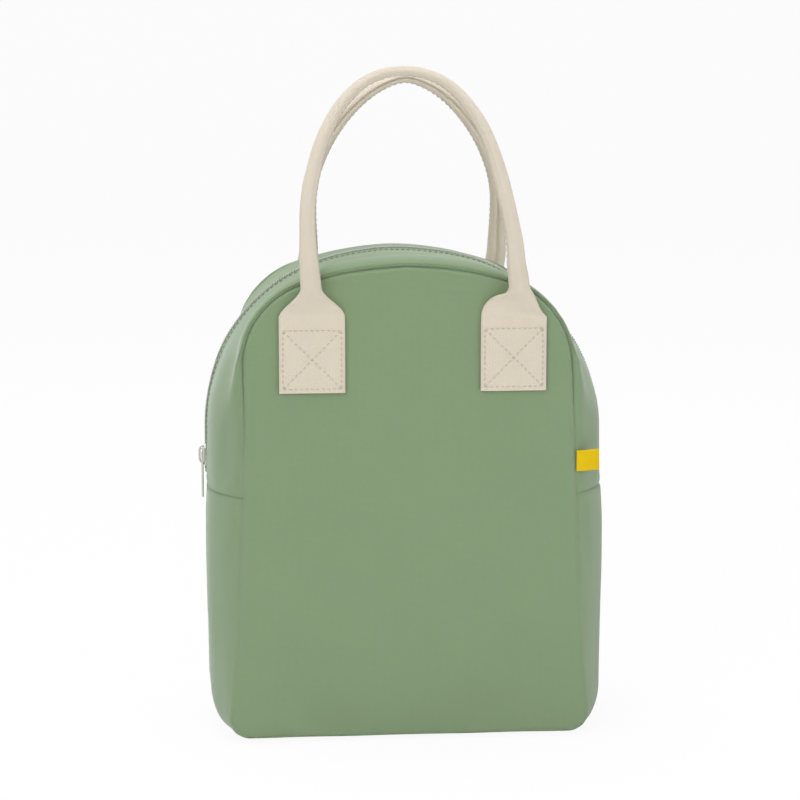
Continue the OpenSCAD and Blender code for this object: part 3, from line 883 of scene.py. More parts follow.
@dataclass
class BagForm:
    """Shape of the whole bag, shared by all its cloth pieces."""

    panel: Outline = field(default_factory=lambda: Outline(97, 284, 52, 190, 11, 9.5, 3))
    middle: Outline = field(default_factory=lambda: Outline(118, 290, 106, 165, 26, 0, 0))
    half_depth: float = 57
    flat_run: float = 20
    fold: float = 148
    zip_gap: float = 4.5
    seam_face: float = 57.8
    ridge: float = 0.5
    sag: tuple[float, float] = (3.2, 1.3)
    drop: float = 2.2
    back_sag: float = 2.6
    sway: float = 2.0
    crease_low: float = 1.3
    crease_high: float = 2.8
    tuck: float = 0.15
    roll: float = 1.0
    turn_in: float = 1.3
    lip_low: tuple[float, float] = (0.3, 0.1)
    lip_high: tuple[float, float] = (1.15, 0.85)
    lip_reach: tuple[float, float] = (12.0, 30.0)
    rear_lip: float = 0.3
    hem: tuple[float, float] = (1.6, 0.9)
    hem_width: tuple[float, float] = (1.2, 0.7)
    fill: float = 1.2
    fill_run: tuple[float, float] = (25, 12)
    tight: tuple[float, float] = (150, 75)
    slack: tuple[float, float] = (175, 85)
    lip_rise: tuple[float, float] = (225, 45)
    lip_width: float = 18
    top_run: float = 8
    dip: tuple[float, float] = (7, 6)
    crown_run: tuple[float, float] = (9, 8)
    ridge_place: tuple[float, float] = (0.25, 0.15)
    back_run: tuple[float, float] = (-10, 40)
    seam_run: float = 12
    tip: float = 0.4

    def bulge(self, y: float) -> float:
        """Share of the bulge reached at depth y."""
        t = max(0.0, (abs(y) - self.flat_run) / (self.half_depth - self.flat_run))
        return 1 - t * t

    def tightness(self, z: float) -> float:
        """Share by which the panel seam is drawn in at height z, most at the arch."""
        return float(ramp(z, *self.tight))

    def crease(self, z: float) -> float:
        """Depth of the panel seam's crease at height z."""
        return self.crease_low + (self.crease_high - self.crease_low) * self.tightness(z)

    def lean(self, z: Grid | float) -> Grid | float:
        """How far the slack top has swayed to the left at height z."""
        return self.sway * ramp(z, *self.slack)

    def lip(self, z: float, y: float) -> tuple[float, float]:
        """How far the gusset rolls forward and outward over the panel seam.

        Args:
            z: Height.
            y: Depth.

        Returns:
            Both movements.
        """
        edge, tight, (near, far) = self.half_depth - abs(y), self.tightness(z), self.lip_reach
        reach = near + (far - near) * float(ramp(z, *self.lip_rise))
        swell = edge * max(0.0, 1 - edge / reach) ** 2
        outer = swell * (self.lip_low[1] + (self.lip_high[1] - self.lip_low[1]) * tight)
        roll = self.lip_low[0] + (self.lip_high[0] - self.lip_low[0]) * tight
        forward = edge * max(0.0, 1 - edge / self.lip_width) ** 2 * roll
        return forward, outer * (1 if y < 0 else self.rear_lip)

    def middle_point(self, k: float, inset: float) -> tuple[float, float]:
        """Point of the middle outline straight out from the panel's point at station k.

        Args:
            k: Station, negative on the left of the base.
            inset: Distance moved inwards.

        Returns:
            Width and height of the point.
        """
        if k > Station.TOP:
            x, z = self.middle_point(2 * Station.TOP - k, inset)
            return -x, z
        if k <= Station.FOLD:
            return self.middle.full(k, inset, self.fold)
        o, width = self.middle, self.middle.half_width - inset
        x, z = self.panel.half(k, inset, self.fold)
        a, turn, low = math.atan2(z - self.fold, x), o.shoulder_angle, o.height - o.crown - self.fold
        crown = o.crown - inset
        if a < math.atan2(o.shoulder_z - self.fold, width):
            r = width / math.cos(a)
        elif a < math.atan2(low + crown * math.sin(turn), crown * math.cos(turn)):
            r = ray_to_circle(a, o.half_width - o.shoulder, o.shoulder_z - self.fold, o.shoulder - inset)
        else:
            r = ray_to_circle(a, 0.0, low, crown)
        return r * math.cos(a), self.fold + r * math.sin(a)

    def skin(self, ks: Grid, ys: Grid, inset: float) -> Grid:
        """Plain points of the gusset at one inset.

        Args:
            ks: Stations round the outline.
            ys: Depths across the gusset.
            inset: Distance inside the outer face.

        Returns:
            Points n by m by 3.
        """
        points = np.zeros((len(ks), len(ys), 3))
        for i, k in enumerate(ks):
            p, q = np.array(self.panel.full(k, inset, self.fold)), np.array(self.middle_point(k, inset))
            for j, y in enumerate(ys):
                x, z = p + (q - p) * self.bulge(y)
                points[i, j] = x, y, z
        return points

    def seams(self, ks: Grid, ys: Grid, points: Grid) -> Grid:
        """Rolls the canvas into its seams: the panel creases, the gusset seams, the ridge and the zip.

        Args:
            ks: Stations round the outline.
            ys: Depths across the gusset.
            points: Points n by m by 3 from skin.

        Returns:
            The moved points.
        """
        rolled = points.copy()
        for i, k in enumerate(ks):
            out, from_side = self.outward(k), min(k, 2 * Station.TOP - k) - Station.SIDE
            top, dip = float(smooth(from_side / self.top_run)), bell(from_side, *self.dip)
            crown = self.drop * float(ramp(from_side, *self.crown_run))
            sag = crown + self.sag[k > Station.TOP] * dip
            back = self.back_sag * dip + 0.1 * crown
            over, upper = points[i, len(ys) // 2, 2] - self.fold, ks[-1] > Station.TOP
            foot = 0.0
            if upper or abs(k) > Station.CORNER:
                foot = self.hem[upper] * bell(over, 0, self.hem_width[upper])
            full, (below, above) = 0.0, self.fill_run
            if not upper:
                full = self.fill * float(smooth(over / -below) * smooth((over + self.fold) / above))
            for j, y in enumerate(ys):
                edge, side = self.half_depth - abs(y), math.copysign(1.0, y)
                rise = self.ridge * bell(abs(y) / self.half_depth, *self.ridge_place) if y < 0 else 0.0
                forward, outer = self.lip(points[i, j, 2], y)
                sunk = sag * self.bulge(y) + back * float(ramp(y, *self.back_run)) * min(1.0, edge / self.seam_run)
                rolled[i, j] += out * (rise * top - foot - sunk + outer + full * self.bulge(y))
                rolled[i, j, 0] -= self.lean(points[i, j, 2])
                rolled[i, j, 1] += side * forward
                if edge < 4 * self.roll:
                    d = self.crease(points[i, j, 2])
                    x, z = self.panel.full(k, self.tuck * d, self.fold)
                    x0, z0 = self.panel.full(k, 0, self.fold)
                    step = np.array([x - x0, side * (self.seam_face - d - self.half_depth), z - z0])
                    rolled[i, j] += step * bell(edge, 0, self.roll)
        return rolled

    def outward(self, k: float) -> Grid:
        """Direction out of the middle outline.

        Args:
            k: Station.

        Returns:
            A unit vector.
        """
        a, b = self.middle_point(k - 0.05, 0), self.middle_point(k + 0.05, 0)
        d = np.array([b[1] - a[1], 0.0, a[0] - b[0]])
        return d / np.linalg.norm(d)

    def run(self, ks: Grid) -> Grid:
        """Distance along the middle outline at each station."""
        return distances(np.array([self.middle_point(k, 0) for k in ks]))

    def layer(
        self, ks: Grid, ys: Grid, inset: float, thick: float, moved: Grid, follow: tuple[float, float]
    ) -> tuple[Grid, Faces, Grid]:
        """Thin solid of one inner gusset layer, which follows the settled canvas.

        Args:
            ks: Stations round the outline.
            ys: Depths across the gusset.
            inset: Distance inside the outer face.
            thick: Thickness of the layer.
            moved: Movement n by m by 3 of the canvas over it.
            follow: Share of that movement that its outer and inner faces make.

        Returns:
            Points, faces and cloth positions for build_mesh.
        """
        outer = self.skin(ks, ys, inset) + moved * follow[0]
        return shell(outer, self.skin(ks, ys, inset + thick) + moved * follow[1], self.cloth(ks, ys))

    def cloth(self, ks: Grid, ys: Grid) -> Grid:
        """Positions along the cloth for a gusset grid."""
        return np.stack(np.broadcast_arrays(self.run(ks)[:, None], np.asarray(ys, float)[None, :] + GUSSET_WEAVE), -1)

    def canvas_shell(self, ks: Grid, ys: Grid, thick: float, outer: Grid) -> tuple[Grid, Faces, Grid]:
        """Outer canvas of the gusset with its seams turned in.

        Args:
            ks: Stations round the outline.
            ys: Depths across the gusset.
            thick: Thickness of the canvas.
            outer: Points n by m by 3 of the settled outer face.

        Returns:
            Points, faces and cloth positions for build_mesh.
        """
        out = np.array([self.outward(k) for k in ks])
        inner = outer - out[:, None, :] * thick
        for j, y in enumerate(ys):
            if abs(abs(y) - self.half_depth) < 1e-6:
                inner[:, j] = outer[:, j] - out * self.turn_in
                inner[:, j, 1] -= math.copysign(self.turn_in, y)
        return shell(outer, inner, self.cloth(ks, ys))

    def panel_grid(self, inset: float, across: int, tuck: float = 0.0) -> tuple[Grid, Grid]:
        """Grid over a flat panel.

        Args:
            inset: Distance moved inwards from the panel seam.
            across: Points over the width.
            tuck: Share of the crease's depth that the edge is also drawn in.

        Returns:
            Widths and heights n by m by 2, and the distance of each point from the panel seam.
        """
        arch = Station.TOP - (Station.TOP - Station.SHOULDER) * np.linspace(1, 0, 22) ** 1.7
        ks, u = np.concatenate([PANEL_ROWS[:-1], arch]), crowded(across, 0.94)
        drawn = [inset + tuck * self.crease(self.panel.half(k, 0, self.fold)[1]) for k in ks]
        rows = np.array([self.panel.half(k, d, self.fold) for k, d in zip(ks, drawn)])
        rows[-1, 0] = self.tip
        grid = np.stack(np.broadcast_arrays(rows[:, 0, None] * u[None, :], rows[:, 1, None]), -1)
        rim = np.array([self.panel.full(k, 0, self.fold) for k in np.linspace(-Station.TOP, Station.TOP, 700)])
        flat = grid.reshape(-1, 2)
        gap = np.sqrt(((flat[:, None, :] - rim[None, :, :]) ** 2).sum(-1)).min(1)
        return grid, gap.reshape(grid.shape[:2])


def both_depths(edge: float, count: int) -> Grid:
    """Depths across the whole gusset, closer together beside the seams."""
    return crowded(count, 0.9, edge)


def half_depths(edge: float, gap: float, side: Side, count: int) -> Grid:
    """Depths across one half of the top gusset, from its panel seam to the zip.

    Args:
        edge: Depth at the panel seam.
        gap: Depth at the zip.
        side: Half of the bag.
        count: Number of depths.

    Returns:
        The depths in rising order.
    """
    t = np.linspace(0, 1, count) ** 1.5
    return np.sort(side.value * (edge - (edge - gap) * t))


SIDE_ROWS = Station.FOLD + (Station.SIDE - Station.FOLD) * np.linspace(0, 1, 18) ** 1.7
LOW_ROWS = Station.FOLD - (Station.FOLD - Station.CORNER) * np.linspace(0, 1, 30)[::-1] ** 1.5
ARCH_ROWS = spaced(
    (Station.SIDE, Station.SHOULDER, 36),
    (Station.SHOULDER, Station.SHOULDER.left, 36),
    (Station.SHOULDER.left, Station.SIDE.left, 36),
)
BASE_ROWS = spaced(
    (-Station.CORNER, -Station.FLOOR, 18), (-Station.FLOOR, Station.FLOOR, 32), (Station.FLOOR, Station.CORNER, 18)
)
TOP = np.concatenate([SIDE_ROWS[:-1], ARCH_ROWS, 2 * Station.TOP - SIDE_ROWS[-2::-1]])
LOW = np.concatenate([-LOW_ROWS[:0:-1], BASE_ROWS, LOW_ROWS[1:]])
HALF_GAP = 0.05
RIGHT_RIM = spaced((HALF_GAP, Station.FLOOR, 8), (Station.FLOOR, Station.CORNER, 8), (Station.CORNER, Station.FOLD, 8))
LEFT_RIM = spaced(
    (Station.FOLD.left, Station.CORNER.left, 8),
    (Station.CORNER.left, Station.FLOOR.left, 8),
    (Station.FLOOR.left, 2 * Station.TOP - HALF_GAP, 8),
)
RIM = np.concatenate([RIGHT_RIM[:-1], TOP, LEFT_RIM[1:]])


@dataclass
class Drape:
    """How far the settled canvas lies from its plain shape, for the layers and trim that follow it."""

    ks: Grid
    ys: Grid
    moved: Grid

    def at(self, ks: Grid, ys: Grid) -> Grid:
        """Movement at other stations and depths, n by m by 3."""
        rows = np.array([[np.interp(ks, self.ks, column) for column in self.moved[..., c].T] for c in range(3)])
        return np.stack([[np.interp(ys, self.ys, rows[c, :, i]) for i in range(len(ks))] for c in range(3)], -1)


@dataclass
class Drapes:
    """Settled shape of the whole outer canvas."""

    low: Drape | None = None
    strips: dict[Side, Drape] = field(default_factory=dict)
    panels: dict[Side, Grid] = field(default_factory=dict)

    def at(self, ks: Grid, ys: Grid, side: Side) -> Grid:
        """Movement of the gusset at stations that may run round the whole bag.

        Args:
            ks: Stations, where those past the left fold go on round the base.
            ys: Depths on one half of the bag.
            side: That half.

        Returns:
            The movement, n by m by 3.
        """
        ks = np.asarray(ks, float)
        base = np.where(ks > Station.TOP, ks - 2 * Station.TOP, ks)
        above = ((ks > Station.FOLD) & (ks < Station.FOLD.left))[:, None, None]
        return np.where(above, self.strips[side].at(ks, ys), self.low.at(base, ys))


@dataclass
class Fold:
    """Crease where the cloth would bend when the mouth opens, in metres: its start, its reach and the inner layers'
    lead; nothing here bends the pieces.
    """

    start: tuple[float, float, float] = (0.0, 0.0, 0.148)
    reach: float = 0.040
    lead: float = 0.006

    def apply(self, piece: bpy.types.Object, lead: float = 0.0) -> bpy.types.Object:
        """Bakes a cloth piece's placement into its mesh, without bending it.

        Args:
            piece: The piece.
            lead: Added to the crease's start depth, which is not used further.

        Returns:
            The same piece.
        """
        x, y, z = self.start
        y += lead
        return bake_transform(piece)

    def carry(self, piece: bpy.types.Object, side: Side) -> bpy.types.Object:
        """Bakes the placement of a piece of the front half, and fixes one of the rear half to the bag."""
        return self.apply(piece) if side is Side.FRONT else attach(piece, "bag")

    def under_gusset(self, piece: bpy.types.Object) -> bpy.types.Object:
        """Bakes the placement of a layer of the gusset into its mesh."""
        return self.apply(piece, self.lead)

    def under_panel(self, piece: bpy.types.Object, depth: float) -> bpy.types.Object:
        """Bakes the placement of a layer of the front panel into its mesh, without bending it.

        Args:
            piece: The piece.
            depth: Depth of the layer in millimetres; not used.

        Returns:
            The same piece.
        """
        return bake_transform(piece)


# ---------------------------------------------------------------- pieces


@dataclass
class SettledCloth:
    """Lets a grid of cloth settle between its seams with Blender's Cloth."""

    frames: int = 22
    pressure: float = 1.6
    slack: float = -0.004
    cap: float = 1.3
    passes: int = 4
    quality: int = 8
    mass: float = 0.25
    stretch: float = 25
    shear: float = 12
    bending: float = 1.5
    gravity: float = 0.35

    def settle(self, name: str, points: Grid, held: Grid) -> Grid:
        """Runs the simulation on one grid.

        Args:
            name: Name for the log.
            points: Points n by m by 3 in millimetres.
            held: Mask n by m of the sewn points.

        Returns:
            How far each point moved, n by m by 3, in millimetres.
        """
        n, m = points.shape[:2]
        piece = build_mesh(f"settling_{name}", points.reshape(-1, 3), grid_faces(n, m))
        group = piece.vertex_groups.new(name="seams")
        group.add([int(i) for i in np.flatnonzero(held.ravel())], 1.0, "REPLACE")
        cloth = piece.modifiers.new("settle", "CLOTH")
        rules = cloth.settings
        rules.quality, rules.mass = self.quality, self.mass
        rules.tension_stiffness = rules.compression_stiffness = self.stretch
        rules.shear_stiffness, rules.bending_stiffness = self.shear, self.bending
        rules.vertex_group_mass = "seams"
        rules.shrink_min = rules.shrink_max = self.slack
        rules.use_pressure = True
        rules.uniform_pressure_force = self.pressure
        rules.effector_weights.gravity = self.gravity
        cloth.collision_settings.use_self_collision = False
        cloth.point_cache.frame_start, cloth.point_cache.frame_end = 1, self.frames
        scene = bpy.context.scene
        for frame in range(1, self.frames + 1):
            scene.frame_set(frame)
        settled = piece.evaluated_get(bpy.context.evaluated_depsgraph_get()).to_mesh()
        after = np.zeros(len(settled.vertices) * 3)
        settled.vertices.foreach_get("co", after)
        moved = after.reshape(points.shape) / MM - points
        bpy.data.objects.remove(piece)
        scene.frame_set(1)
        free = (1 - held)[..., None]
        for _ in range(self.passes):
            wide = np.pad(moved, ((1, 1), (1, 1), (0, 0)), "edge")
            moved = (wide[:-2, 1:-1] + wide[2:, 1:-1] + wide[1:-1, :-2] + wide[1:-1, 2:] + 2 * moved) / 6 * free
        size = np.linalg.norm(moved, axis=-1, keepdims=True)
        log.info("%s settled: moved %.2f mm on average, %.2f mm at most", name, size.mean(), size.max())
        return moved * self.cap * np.tanh(size / self.cap) / np.maximum(size, 1e-9)


@dataclass
class CanvasShell:
    """Outer canvas: two crowned panels and the gusset."""

    form: BagForm
    paint: Palette
    fold: Fold
    drapes: Drapes = field(default_factory=Drapes)
    settled: SettledCloth = field(default_factory=SettledCloth)
    canvas: float = 1.0
    panel_crown: float = 1.2
    panel_slack: float = 0.45
    gusset_slack: float = 0.6
    slack_wave: tuple[float, float] = (120.0, 0.4)
    slack_run: float = 25
    crown_run: float = 45
    gusset_wave: tuple[float, float] = (95.0, 1.3)
    middle: tuple[float, float, float] = (0.0, 0.0, 140.0)
    sewn: tuple[float, float, float, float] = (58.8, 20.3, 210.0, 247.0)
    sewn_run: float = 11
    stitch_line: float = 7.2

    def panel(self, side: Side) -> bpy.types.Object:
        """One crowned panel.

        Args:
            side: Front or rear.

        Returns:
            The finished piece.
        """
        form, way = self.form, side.value
        node = "front_panel" if side is Side.FRONT else "back_panel"
        grid, gap = form.panel_grid(0.0, 67, form.tuck)
        crease = np.array([form.crease(row[0, 1]) for row in grid])[:, None]
        place = np.stack([grid[..., 0], np.full(gap.shape, 40.0), grid[..., 1]], -1)
        waves = ripple(place, *self.slack_wave) * self.panel_slack * smooth(gap / self.slack_run)
        crown = smooth(gap / self.crown_run) * self.panel_crown + waves
        face = form.half_depth + self.canvas
        flat = np.stack([grid[..., 0], way * (face + crown), grid[..., 1]], -1)
        if side is Side.REAR:
            flat, gap, crown = flat[:, ::-1], gap[:, ::-1], crown[:, ::-1]
        moved = self.settled.settle(f"canvas_{node}", flat[:, ::-1], sewn_edges(gap.shape))[:, ::-1]
        free = 1 - self.under_ends(flat)
        flat += moved * free[..., None]
        flat[..., 1] -= way * crown * (1 - free)
        sink = np.exp(-((np.maximum(0, gap - form.tuck * crease) / form.roll) ** 2))
        flat[..., 1] = way * (np.abs(flat[..., 1]) * (1 - sink) + (form.seam_face - crease) * sink)
        flat[..., 0] -= form.lean(flat[..., 2])
        rise = way * flat[..., 1] - face
        self.drapes.panels[side] = rise[:, ::-1] if side is Side.REAR else rise
        inner = flat - np.array([0.0, way * self.canvas, 0.0])
        for edge in (np.s_[:, 0], np.s_[:, -1], np.s_[0], np.s_[-1]):
            pull = (np.array(self.middle) - flat[edge]) * np.array([1, 0, 1])
            pull /= np.linalg.norm(pull, axis=-1, keepdims=True)
            inner[edge] = flat[edge] + (pull - np.array([0.0, way, 0.0])) * form.turn_in
        mesh = build_mesh(f"canvas_{node}", *shell(inner, flat, face_weave(flat)))
        return self.fold.carry(dress(mesh, self.paint.canvas, "canvas", node), side)

    def under_ends(self, points: Grid) -> Grid:
        """Mask of the panel under the sewn handle ends, which hold it flat.

        Args:
            points: Points n by m by 3 of the panel.

        Returns:
            The mask, 1 under the ends.
        """
        offset, half, low, high = self.sewn
        aside = np.abs(np.abs(points[..., 0]) - offset) - half
        over = np.abs(points[..., 2] - (low + high) / 2) - (high - low) / 2 - 3
        return smooth(1 - np.maximum(0, aside) / self.sewn_run) * smooth(1 - np.maximum(0, over) / self.sewn_run)

    def strip(self, name: str, ks: Grid, ys: Grid, node: str) -> tuple[bpy.types.Object, Drape]:
        """Gusset strip that has settled between its seams.

        Args:
            name: Name of the piece.
            ks: Stations round the outline.
            ys: Depths across the gusset.
            node: Solid that it replaces.

        Returns:
            The finished piece and its movement.
        """
        form = self.form
        plain = form.skin(ks, ys, 0)
        held = sewn_edges(plain.shape[:2])
        if "lower" in name:
            held[plain[..., 2] < 1.5] = 1
        out = np.array([form.outward(k) for k in ks])[:, None, :]
        away = np.minimum(1, (form.half_depth - np.abs(ys)) / form.seam_run)[None, :, None]
        wave = out * ripple(plain, *self.gusset_wave)[..., None] * self.gusset_slack * away
        wave *= smooth(plain[..., 2:] / 14)
        wave *= smooth(np.abs(plain[..., 2:] - form.fold) / 10)
        moved = self.settled.settle(name, plain[:, ::-1], held)[:, ::-1]
        outer = form.seams(ks, ys, plain) + wave + moved
        parts = form.canvas_shell(ks, ys, self.canvas, outer)
        return dress(build_mesh(name, *parts), self.paint.canvas, "canvas", node), Drape(ks, ys, outer - plain)

    def lower_gusset(self) -> bpy.types.Object:
        """Sides and base in one length of canvas.

        Returns:
            The finished piece.
        """
        ys = both_depths(self.form.half_depth, 57)
        piece, self.drapes.low = self.strip("canvas_lower_gusset", LOW, ys, "lower_gusset")
        return self.fold.apply(piece)

    def top_gusset(self, side: Side) -> bpy.types.Object:
        """Arched canvas strip on one side of the zip.

        Args:
            side: Front or rear strip.

        Returns:
            The finished piece.
        """
        ys = half_depths(self.form.half_depth, self.form.zip_gap, side, 31)
        node = f"top_gusset_{side.label}"
        piece, self.drapes.strips[side] = self.strip(f"canvas_{node}", TOP, ys, node)
        return self.fold.carry(piece, side)

    def stitches(self) -> None:
        """Topstitching beside the zip."""
        form = self.form
        up = np.array([form.outward(k) for k in TOP])
        for side in Side:
            ys = np.array([side.value * self.stitch_line])
            line = (form.skin(TOP, ys, 0) + self.drapes.strips[side].at(TOP, ys))[:, 0]
            row = beads(line, up, 2.6, 0.7, 0.32, f"zip_topstitch_{side.label}", lift=0.1)
            self.fold.carry(dress(row, self.paint.green_thread, "thread"), side)

    def build(self) -> Drapes:
        """Builds every canvas piece and its stitches.

        Returns:
            The settled shape, for what lies under it and on it.
        """
        for side in Side:
            self.panel(side)
            self.top_gusset(side)
        self.lower_gusset()
        self.stitches()
        return self.drapes


@dataclass
class Lining:
    """Foam layers, lining, seam bindings and the slip pocket."""

    form: BagForm
    paint: Palette
    fold: Fold
    drapes: Drapes
    canvas: float = 1.0
    foam: float = 3.0
    cloth: float = 0.6
    tape_half: float = 14.4
    ease: float = 0.6
    pocket_half: float = 68.0
    pocket_low: float = 40.0
    pocket_high: float = 150.0
    pocket_depth: float = 7.0
    pocket_dip: float = 1.5
    pocket_seam: float = 0.16
    pocket_foot: float = 0.1
    glue: float = 0.15
    squash: float = 0.25
    foam_inset: float = 3.2
    allowance: float = 1.5
    binding_from: float = 45.0

    def sheet(
        self, name: str, side: Side, inset: float, depth: float, thick: float, follow: tuple[float, float]
    ) -> bpy.types.Object:
        """Layer behind a panel.

        Args:
            name: Name of the piece.
            side: Front or rear.
            inset: Distance inside the panel seam.
            depth: Depth of its outer face, without sign.
            thick: Thickness.
            follow: Share of the canvas's movement that its outer and inner faces make.

        Returns:
            The bare piece.
        """
        rise = self.drapes.panels[side]
        grid, _ = self.form.panel_grid(inset, rise.shape[1], self.form.tuck)
        outer, inner = (
            np.stack([grid[..., 0], side.value * (depth - back + rise * part), grid[..., 1]], -1)
            for back, part in ((0.0, follow[0]), (thick, follow[1]))
        )
        if side is Side.REAR:
            outer, inner = outer[:, ::-1], inner[:, ::-1]
        return build_mesh(name, *shell(inner, outer, face_weave(outer)))

    def strip(
        self, name: str, ks: Grid, ys: Grid, inset: float, thick: float, moved: Grid, follow: tuple[float, float]
    ) -> bpy.types.Object:
        """Gusset layer at one inset, as a bare piece, from the same values as BagForm.layer takes."""
        return build_mesh(name, *self.form.layer(ks, ys, inset, thick, moved, follow))

    def pair(self, name: str, ks: Grid, ys: Grid, moved: Grid, node: str) -> list[bpy.types.Object]:
        """Foam and lining of one stretch of the gusset.

        Args:
            name: Name of the stretch.
            ks: Stations round the outline.
            ys: Depths across the gusset.
            moved: Movement of the canvas over it.
            node: Start and end of the solids' names, with a gap for the layer.

        Returns:
            Both pieces.
        """
        inner = self.canvas + self.foam
        moved = moved.copy()
        moved[..., 1] *= smooth((self.form.half_depth - np.abs(ys)) / self.form.seam_run)
        skin, thick = self.canvas + self.glue, self.foam - self.squash
        wad = self.strip(f"foam_{name}", ks, ys, skin, thick, moved, (1.0, self.ease))
        cover = self.strip(f"lining_{name}", ks, ys, inner, self.cloth, moved, (self.ease, self.ease))
        dress(wad, self.paint.foam, "foam", node.format("foam"))
        dress(cover, self.paint.lining, "lining", node.format("lining"))
        return [wad, cover]

    def half(self, side: Side) -> list[bpy.types.Object]:
        """Layers behind one panel and one half of the top gusset.

        Args:
            side: Front or rear.

        Returns:
            Foam and lining of the panel, foam and lining of the gusset, and the binding.
        """
        form, label, eased = self.form, side.label if side is Side.FRONT else "back", (self.ease, self.ease)
        edge, inner = form.half_depth - self.foam, self.canvas + self.foam
        nodes = ("front_foam_lower", "front_foam_upper") if side is Side.FRONT else ("back_foam",)
        depth, thick = form.half_depth - self.glue, self.foam - self.squash
        pad = self.sheet(f"foam_{label}", side, self.foam_inset, depth, thick, (1.0, self.ease))
        skin = self.sheet(f"lining_{label}", side, inner + 0.9, edge, self.cloth, eased)
        dress(pad, self.paint.foam, "foam", *nodes)
        dress(skin, self.paint.lining, "lining", f"{label}_lining")
        ys = half_depths(edge - self.allowance, self.tape_half, side, 13)
        moved = self.drapes.strips[side].at(TOP, ys)
        strips = self.pair(f"top_{side.label}", TOP, ys, moved, "top_{}_" + side.label)
        ys = np.sort(side.value * np.linspace(self.binding_from, edge - 0.7, 7))
        under, moved = inner + self.cloth + 0.4, self.drapes.at(RIM, ys, side)
        tape = self.strip(f"binding_{side.label}", RIM, ys, under, self.cloth, moved, eased)
        dress(tape, self.paint.binding, "binding", f"seam_binding_{side.label}")
        return [pad, skin, *strips, tape]

    def build(self) -> None:
        """Builds the layers inside the canvas."""
        pad, skin, *others = self.half(Side.FRONT)
        for piece in (pad, skin):
            self.fold.under_panel(piece, self.form.half_depth - self.foam)
        for piece in others:
            self.fold.under_gusset(piece)
        for piece in self.half(Side.REAR):
            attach(piece, "bag")
        ys = both_depths(self.form.half_depth - self.foam - self.allowance, 25)
        for piece in self.pair("gusset", LOW, ys, self.drapes.low.at(LOW, ys), "gusset_{}"):
            self.fold.under_gusset(piece)
        self.pocket()

    def pocket(self) -> None:
        """Slip pocket with a slack bowed face and a bound top edge."""
        wall = self.form.half_depth - self.foam - self.cloth
        us, zs = np.linspace(-1, 1, 33), np.linspace(0, 1, 21)
        face = np.zeros((len(zs), len(us), 3))
        for i, t in enumerate(zs):
            for j, u in enumerate(us):
                lift = smooth((1 - abs(u)) / self.pocket_seam) * smooth(t / self.pocket_foot)
                sag = 0.5 * math.sin(3.1 * u + 1) * t * lift
                depth = wall - 0.05 - (self.pocket_depth - 1.2 + sag) * lift
                rise = t * (self.pocket_high - self.pocket_low) - self.pocket_dip * t * (1 - u * u)
                face[i, j] = u * self.pocket_half, depth, self.pocket_low + rise
        back = face.copy()
        back[..., 1] = np.minimum(back[..., 1] + self.cloth, wall)
        mesh = build_mesh("pocket_face", *shell(face, back, face_weave(face)))
        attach(dress(mesh, self.paint.lining, "lining", "inner_pocket"), "bag")
        rim = face[-1] + np.array([0, 0.3, -1.6])
        mesh = build_mesh("pocket_binding", *tube(rim, UPWARD, REARWARD, (2.4, 0.75), 4, 12))
        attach(dress(mesh, self.paint.binding, "binding"), "bag")


